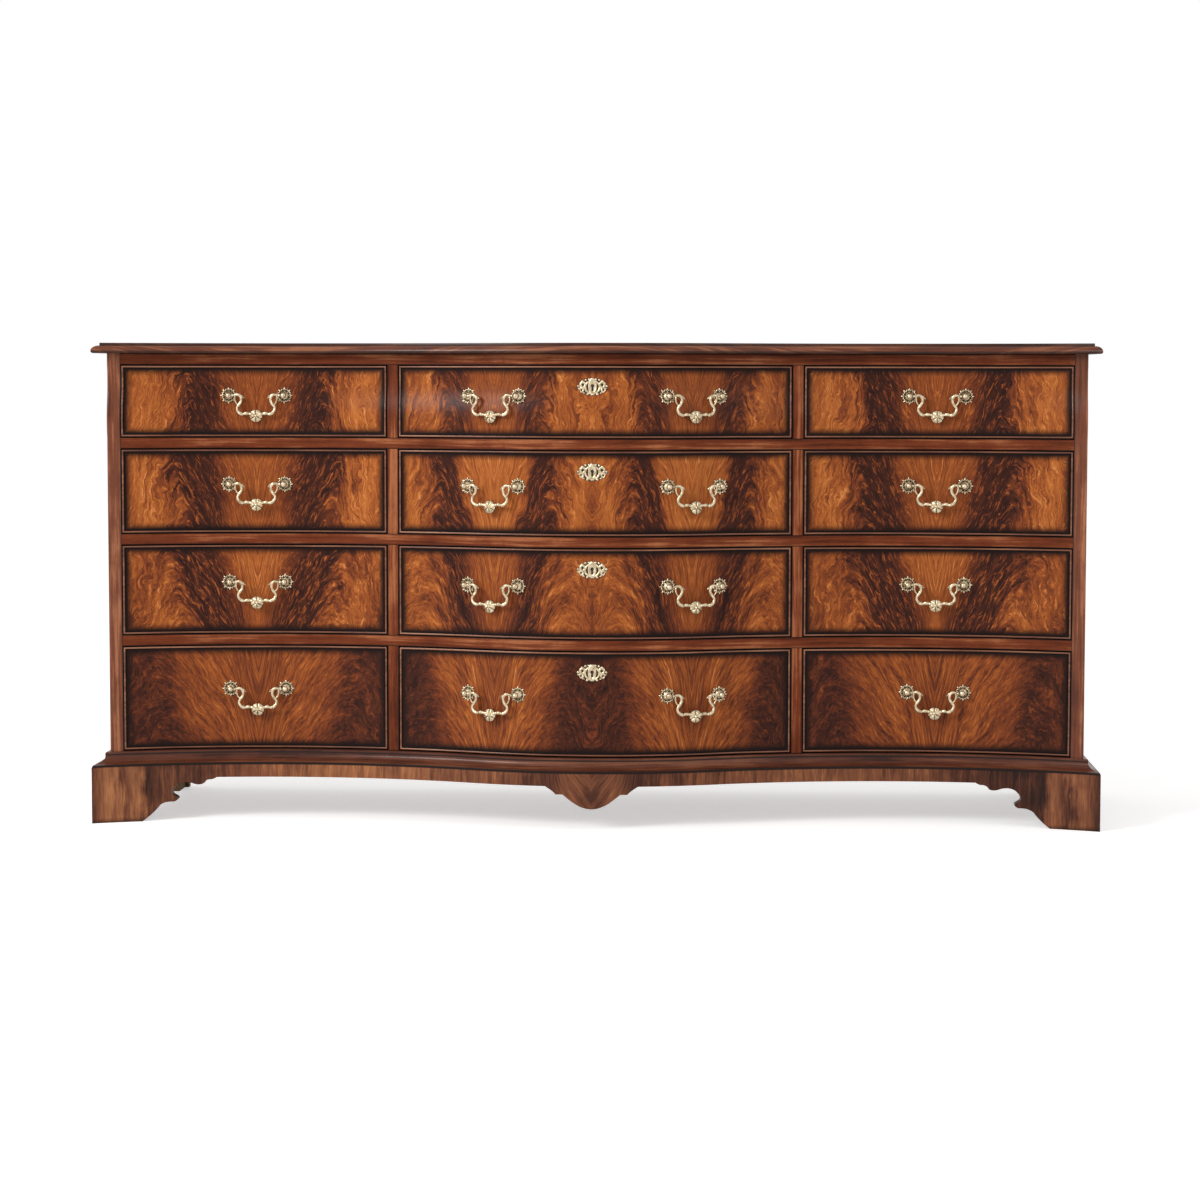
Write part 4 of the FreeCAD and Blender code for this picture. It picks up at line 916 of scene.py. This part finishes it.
def postShape(board):
    # Stub, shank, collar, neck and a flattened ball with a small tip. y is measured from the board's face.
    tail = board + pull["nutHeight"] + pull["stub"]
    reach, head = pull["reach"], pull["head"]
    t = np.radians(np.linspace(-58, 72, 12))
    ball = stacked(head * np.cos(t), -reach - head * 0.92 * np.sin(t))
    stem = [(pull["shank"] - 0.0005, tail), (pull["shank"], tail - 0.0005), (pull["shank"], -0.0044),
            (pull["collar"], -0.0046), (pull["collar"], -0.0058), (pull["neck"], -0.0066), (pull["neck"], -0.0115)]
    return turnedShape(np.concatenate([stem, ball, [(0.0006, ball[-1, 1] - 0.0008)]]), 20)


def nutShape(board):
    radius, height = pull["nut"], pull["nutHeight"]
    return turnedShape([(pull["shank"], board), (radius, board), (radius, board + height - 0.0006),
                        (radius - 0.0008, board + height), (pull["shank"], board + height)], 6)


def outwardAt(place):
    # Unit vector out of the board at a point in plan: away from the bow's centre, or toward the hollow's
    x, y = place
    if abs(x) <= bowRadius * math.sin(turn):
        way = np.array([x, y - bowCentreY])
    else:
        way = np.array([math.copysign(line["hollowPlace"], x) - x, hollowCentreY - y])
    return way / np.linalg.norm(way)


def stood(part, place, out, row=None):
    # A shape made round the origin, facing -Y, turned to face out and set at a place. With a row its back
    # follows the top row's ogee.
    points, faces, hollow = part
    x, y, z = points.T
    if row == 1:
        y = y - (ogee(z + place[2]) - ogee(np.array(place[2])))
    points = stacked(place[0] - x * out[1] - y * out[0], place[1] + x * out[0] - y * out[1], place[2] + z)
    return points, faces, hollow


rosetteShape = polarRelief(rosetteEdge, rosetteRelief, pull["sunk"], 30, 96)
flowerShape = polarRelief(flowerEdge, flowerRelief, 0.0026, 16, 72)
flowerShape = (flowerShape[0] + (0, 0, flower["place"]), flowerShape[1], flowerShape[2])
bailShape = roundRod(bailLine + tuple((-x, z, r) for x, z, r in bailLine[-2::-1]), 7, 12)
scrolls = [roundRod([(side * x, z, r) for x, z, r in way], 6, 10) for way in (leafLine, spurLine) for side in (-1, 1)]
bailShape = merged([bailShape, flowerShape] + scrolls)

# Each oval is a centre, two half widths, and its ridge's width and height
escutcheon = {"drop": 0.0385, "halfWidth": 0.0280, "halfHeight": 0.0165, "windowHalf": 0.0062, "windowHeight": 0.0125,
              "eye": 0.0030, "eyePlace": 0.0015, "slotHalf": 0.0017, "slotLow": -0.0080, "bead": 0.0026,
              "ovals": ((0, 0, 0.0064, 0.0128, 0.0020, 0.0023), (0, -0.001, 0.0132, 0.0118, 0.0020, 0.0022),
                        (0.0178, 0.0035, 0.0042, 0.0048, 0.0022, 0.0022),
                        (0.0205, -0.0058, 0.0036, 0.0034, 0.0020, 0.0020)),
              "beads": ((0, 0.0145), (0.0062, 0.0135), (0.0125, 0.0125), (0.0185, 0.0098), (0.0238, 0.0062),
                        (0.0262, 0.0010), (0.0252, -0.0045), (0.0215, -0.0098), (0.0160, -0.0122),
                        (0.0090, -0.0138), (0, -0.0150))}


def escutcheonEdge(angle):
    # An oval with lobes
    oval = 1 / np.hypot(np.cos(angle) / escutcheon["halfWidth"], np.sin(angle) / escutcheon["halfHeight"])
    return oval * (0.97 + 0.05 * np.cos(14 * angle) + 0.02 * np.cos(6 * angle))


def ovalRidge(x, z, centreX, centreZ, halfWidth, halfHeight, width, height):
    share = np.hypot((x - centreX) / halfWidth, (z - centreZ) / halfHeight)
    return ridge((share - 1) * min(halfWidth, halfHeight), width, height)


def escutcheonRelief(x, z):
    # The keyhole's oval, a crescent outside it, two eyed scrolls on each side, and beads along the edge
    side = np.abs(x)
    # The ground between the ridges at 0.3 mm and the keyhole at 0.1 mm count as hollow, painted dark as shade
    middle = np.where(np.hypot(x / escutcheon["windowHalf"], z / escutcheon["windowHeight"]) < 1, 0.0013, 0.0003)
    shapes = [middle] + [ovalRidge(side, z, *oval) for oval in escutcheon["ovals"]]
    shapes += [ridge(np.hypot(side - a, z - b), escutcheon["bead"], 0.0023) for a, b in escutcheon["beads"]]
    eye = np.hypot(x, z - escutcheon["eyePlace"]) < escutcheon["eye"]
    keyhole = eye | ((side < escutcheon["slotHalf"]) & (z < 0) & (z > escutcheon["slotLow"]))
    return np.where(keyhole, 0.0001, np.maximum.reduce(np.broadcast_arrays(*shapes)))


escutcheonShape = polarRelief(escutcheonEdge, escutcheonRelief, 0.0004, 60, 168)
lock = {"halfWidth": 0.028, "height": 0.060, "thickness": 0.011, "gap": 0.0004, "boltHalf": 0.007,
        "boltThickness": 0.005, "boltHeight": 0.014, "boltRise": 0.0003}


def plate(halfWidth, y0, y1, low, high, ease):
    # A thick plate about the middle plane, with eased corners and edges
    ring = softened([(-halfWidth, low), (halfWidth, low), (halfWidth, high), (-halfWidth, high)], ease)
    middle = ring.mean(axis=0)
    inset = middle + (ring - middle) * (1 - ease / (2 * halfWidth))
    rings = ((inset, y0), (ring, y0 + ease / 2), (ring, y1 - ease / 2), (inset, y1))
    return tube(np.stack([stacked(shape[:, 0], y, shape[:, 1]) for shape, y in rings]))


def lockShapes(row):
    # Escutcheon on the board, lock case behind it, and the bolt's end in the case's top
    high = rows[row][1] - drawer["clearance"]
    points, faces, hollow = escutcheonShape
    x, y, z = points.T
    z = z + high - escutcheon["drop"]
    onBoard = stacked(x, frontLine(x, faceOffset(row, z) - y), z)
    rear = float(frontLine(0.0, -drawer["thickness"])) + lock["gap"]
    back = rear + lock["thickness"]
    case = plate(lock["halfWidth"], rear, back, high - lock["height"], high - lock["gap"], 0.0008)
    middle, half = (rear + back) / 2, lock["boltThickness"] / 2
    bolt = plate(lock["boltHalf"], middle - half, middle + half, high - lock["boltHeight"],
                 high - lock["gap"] + lock["boltRise"], 0.0004)
    return [(onBoard, faces, hollow), case, bolt]


def casting(name, part, body, replaced):
    # A piece of brass from points, faces and hollow values
    points, faces, hollow = part
    addPiece(name, points, faces, body=body, replaces=[replaced], slot="aged_brass", materials=[brass],
             attributes={"hollow": hollow})


for row in rows:
    for column in columns:
        drawerBody = "row%d_%s_drawer" % (row, column)
        fittings = lockShapes(row) if column == "centre" else []
        for joint in frame["joints"]:
            if joint["parent"] != drawerBody:
                continue
            right, hinge, child = -np.array(joint["axis"][:2]), np.array(joint["pos_m"]), joint["child"]
            bail = stood(bailShape, hinge, (right[1], -right[0]))
            casting("bail" + child.title().replace("_", ""), bail, child, child)
            board = drawer["thickness"] + float(faceOffset(row, np.array(hinge[2])))
            for side in (-1, 1):
                pivot = hinge[:2] + side * pull["halfSpacing"] * right
                out = outwardAt(pivot)
                foot = (*(pivot - out * pull["reach"]), hinge[2])
                fittings += [stood(rosetteShape, foot, out, row), stood(postShape(board), foot, out),
                             stood(nutShape(board), foot, out)]
        casting("row%d%sFittings" % (row, column.capitalize()), merged(fittings), drawerBody,
                "row%d_%s_fittings" % (row, column))

print("finishes of the carried-over boards")
finishes = {"side_panels": caseSide, "back_panel": secondaryWood, "partitions_and_runners": secondaryWood,
            "bottom_board": secondaryWood}
for name, piece in frame["nodes"].items():
    finish = drawerLining if name.endswith("_box") else finishes.get(name)
    if finish:
        piece.data.materials.clear()
        piece.data.materials.append(finish)

print("floor, light and camera")
# The camera's turns are about Z, X, Y and X again, each in the frame of the one before
studio = {
    "camera": (0.2778, -5.7926, 0.8357), "turns": (2.721, -4.227, -0.069, 90), "lens": 90.16,
    "floorHalf": 14.0, "floorGlow": 0.50, "world": 0.56, "target": (0, 0, 0.45),
}
# Each lamp's place, size and power
lamps = {"keyLamp": ((-4.0, -4.2, 3.4), (2.3, 2.1), 235.0), "fillLamp": ((3.6, -4.2, 2.8), (4.0, 3.2), 34.0)}


def seen(tree):
    # 1 for what the camera sees straight or through a clear thing, half for what a gloss reflects
    kinds = ("Camera", "Glossy", "Transmission")
    camera, glossy, clear = [addNode(tree, "LightPath", {}, {}, "Is %s Ray" % kind) for kind in kinds]
    return (camera + glossy * 0.5 + clear).clipped()


def stageFloor():
    # A wide flat floor with a pale, barely mottled finish
    half = studio["floorHalf"]
    mesh = bpy.data.meshes.new("floor")
    mesh.from_pydata([(-half, -half, 0), (half, -half, 0), (half, half, 0), (-half, half, 0)], [], [(0, 1, 2, 3)])
    material, tree, shader = newMaterial("paleFloor", roughness=0.6, specular=0.2)
    feed(shader, colour=ramp(noise(objectPlace(tree), scale=3.0), ((0.0, 0.86), (1.0, 0.90))))
    glow = addNode(tree, "Emission", {}, {"Strength": seen(tree) * studio["floorGlow"]})
    both = addNode(tree, "AddShader", {}, {0: Wire(tree, shader.outputs[0]), 1: glow})
    plug(tree.nodes["Material Output"].inputs["Surface"], both)
    mesh.materials.append(material)
    placed("floor", mesh)


def areaLamp(name, place, size, power):
    lamp = bpy.data.lights.new(name, "AREA")
    lamp.shape = "RECTANGLE"
    lamp.size, lamp.size_y = size
    lamp.energy = power
    piece = placed(name, lamp)
    piece.location = place
    piece.rotation_euler = (Vector(studio["target"]) - Vector(place)).to_track_quat("-Z", "Y").to_euler()


stageFloor()
for name, values in lamps.items():
    areaLamp(name, *values)

world = bpy.data.worlds.new("studio")
world.use_nodes = True
bpy.context.scene.world = world
background = world.node_tree.nodes["Background"].inputs
plug(background["Color"], (1.0, 1.0, 1.0, 1.0))
plug(background["Strength"], seen(world.node_tree) * (1.0 - studio["world"]) + studio["world"])

camera = bpy.data.cameras.new("camera")
camera.lens = studio["lens"]
camera.sensor_width = 36.0
camera.clip_end = 100.0
view = placed("camera", camera)
placing = Matrix.Translation(studio["camera"])
for angle, axis in zip(studio["turns"], "ZXYX"):
    placing = placing @ Matrix.Rotation(math.radians(angle), 4, axis)
view.matrix_world = placing
bpy.context.scene.camera = view
bpy.context.scene.view_settings.view_transform = "Standard"
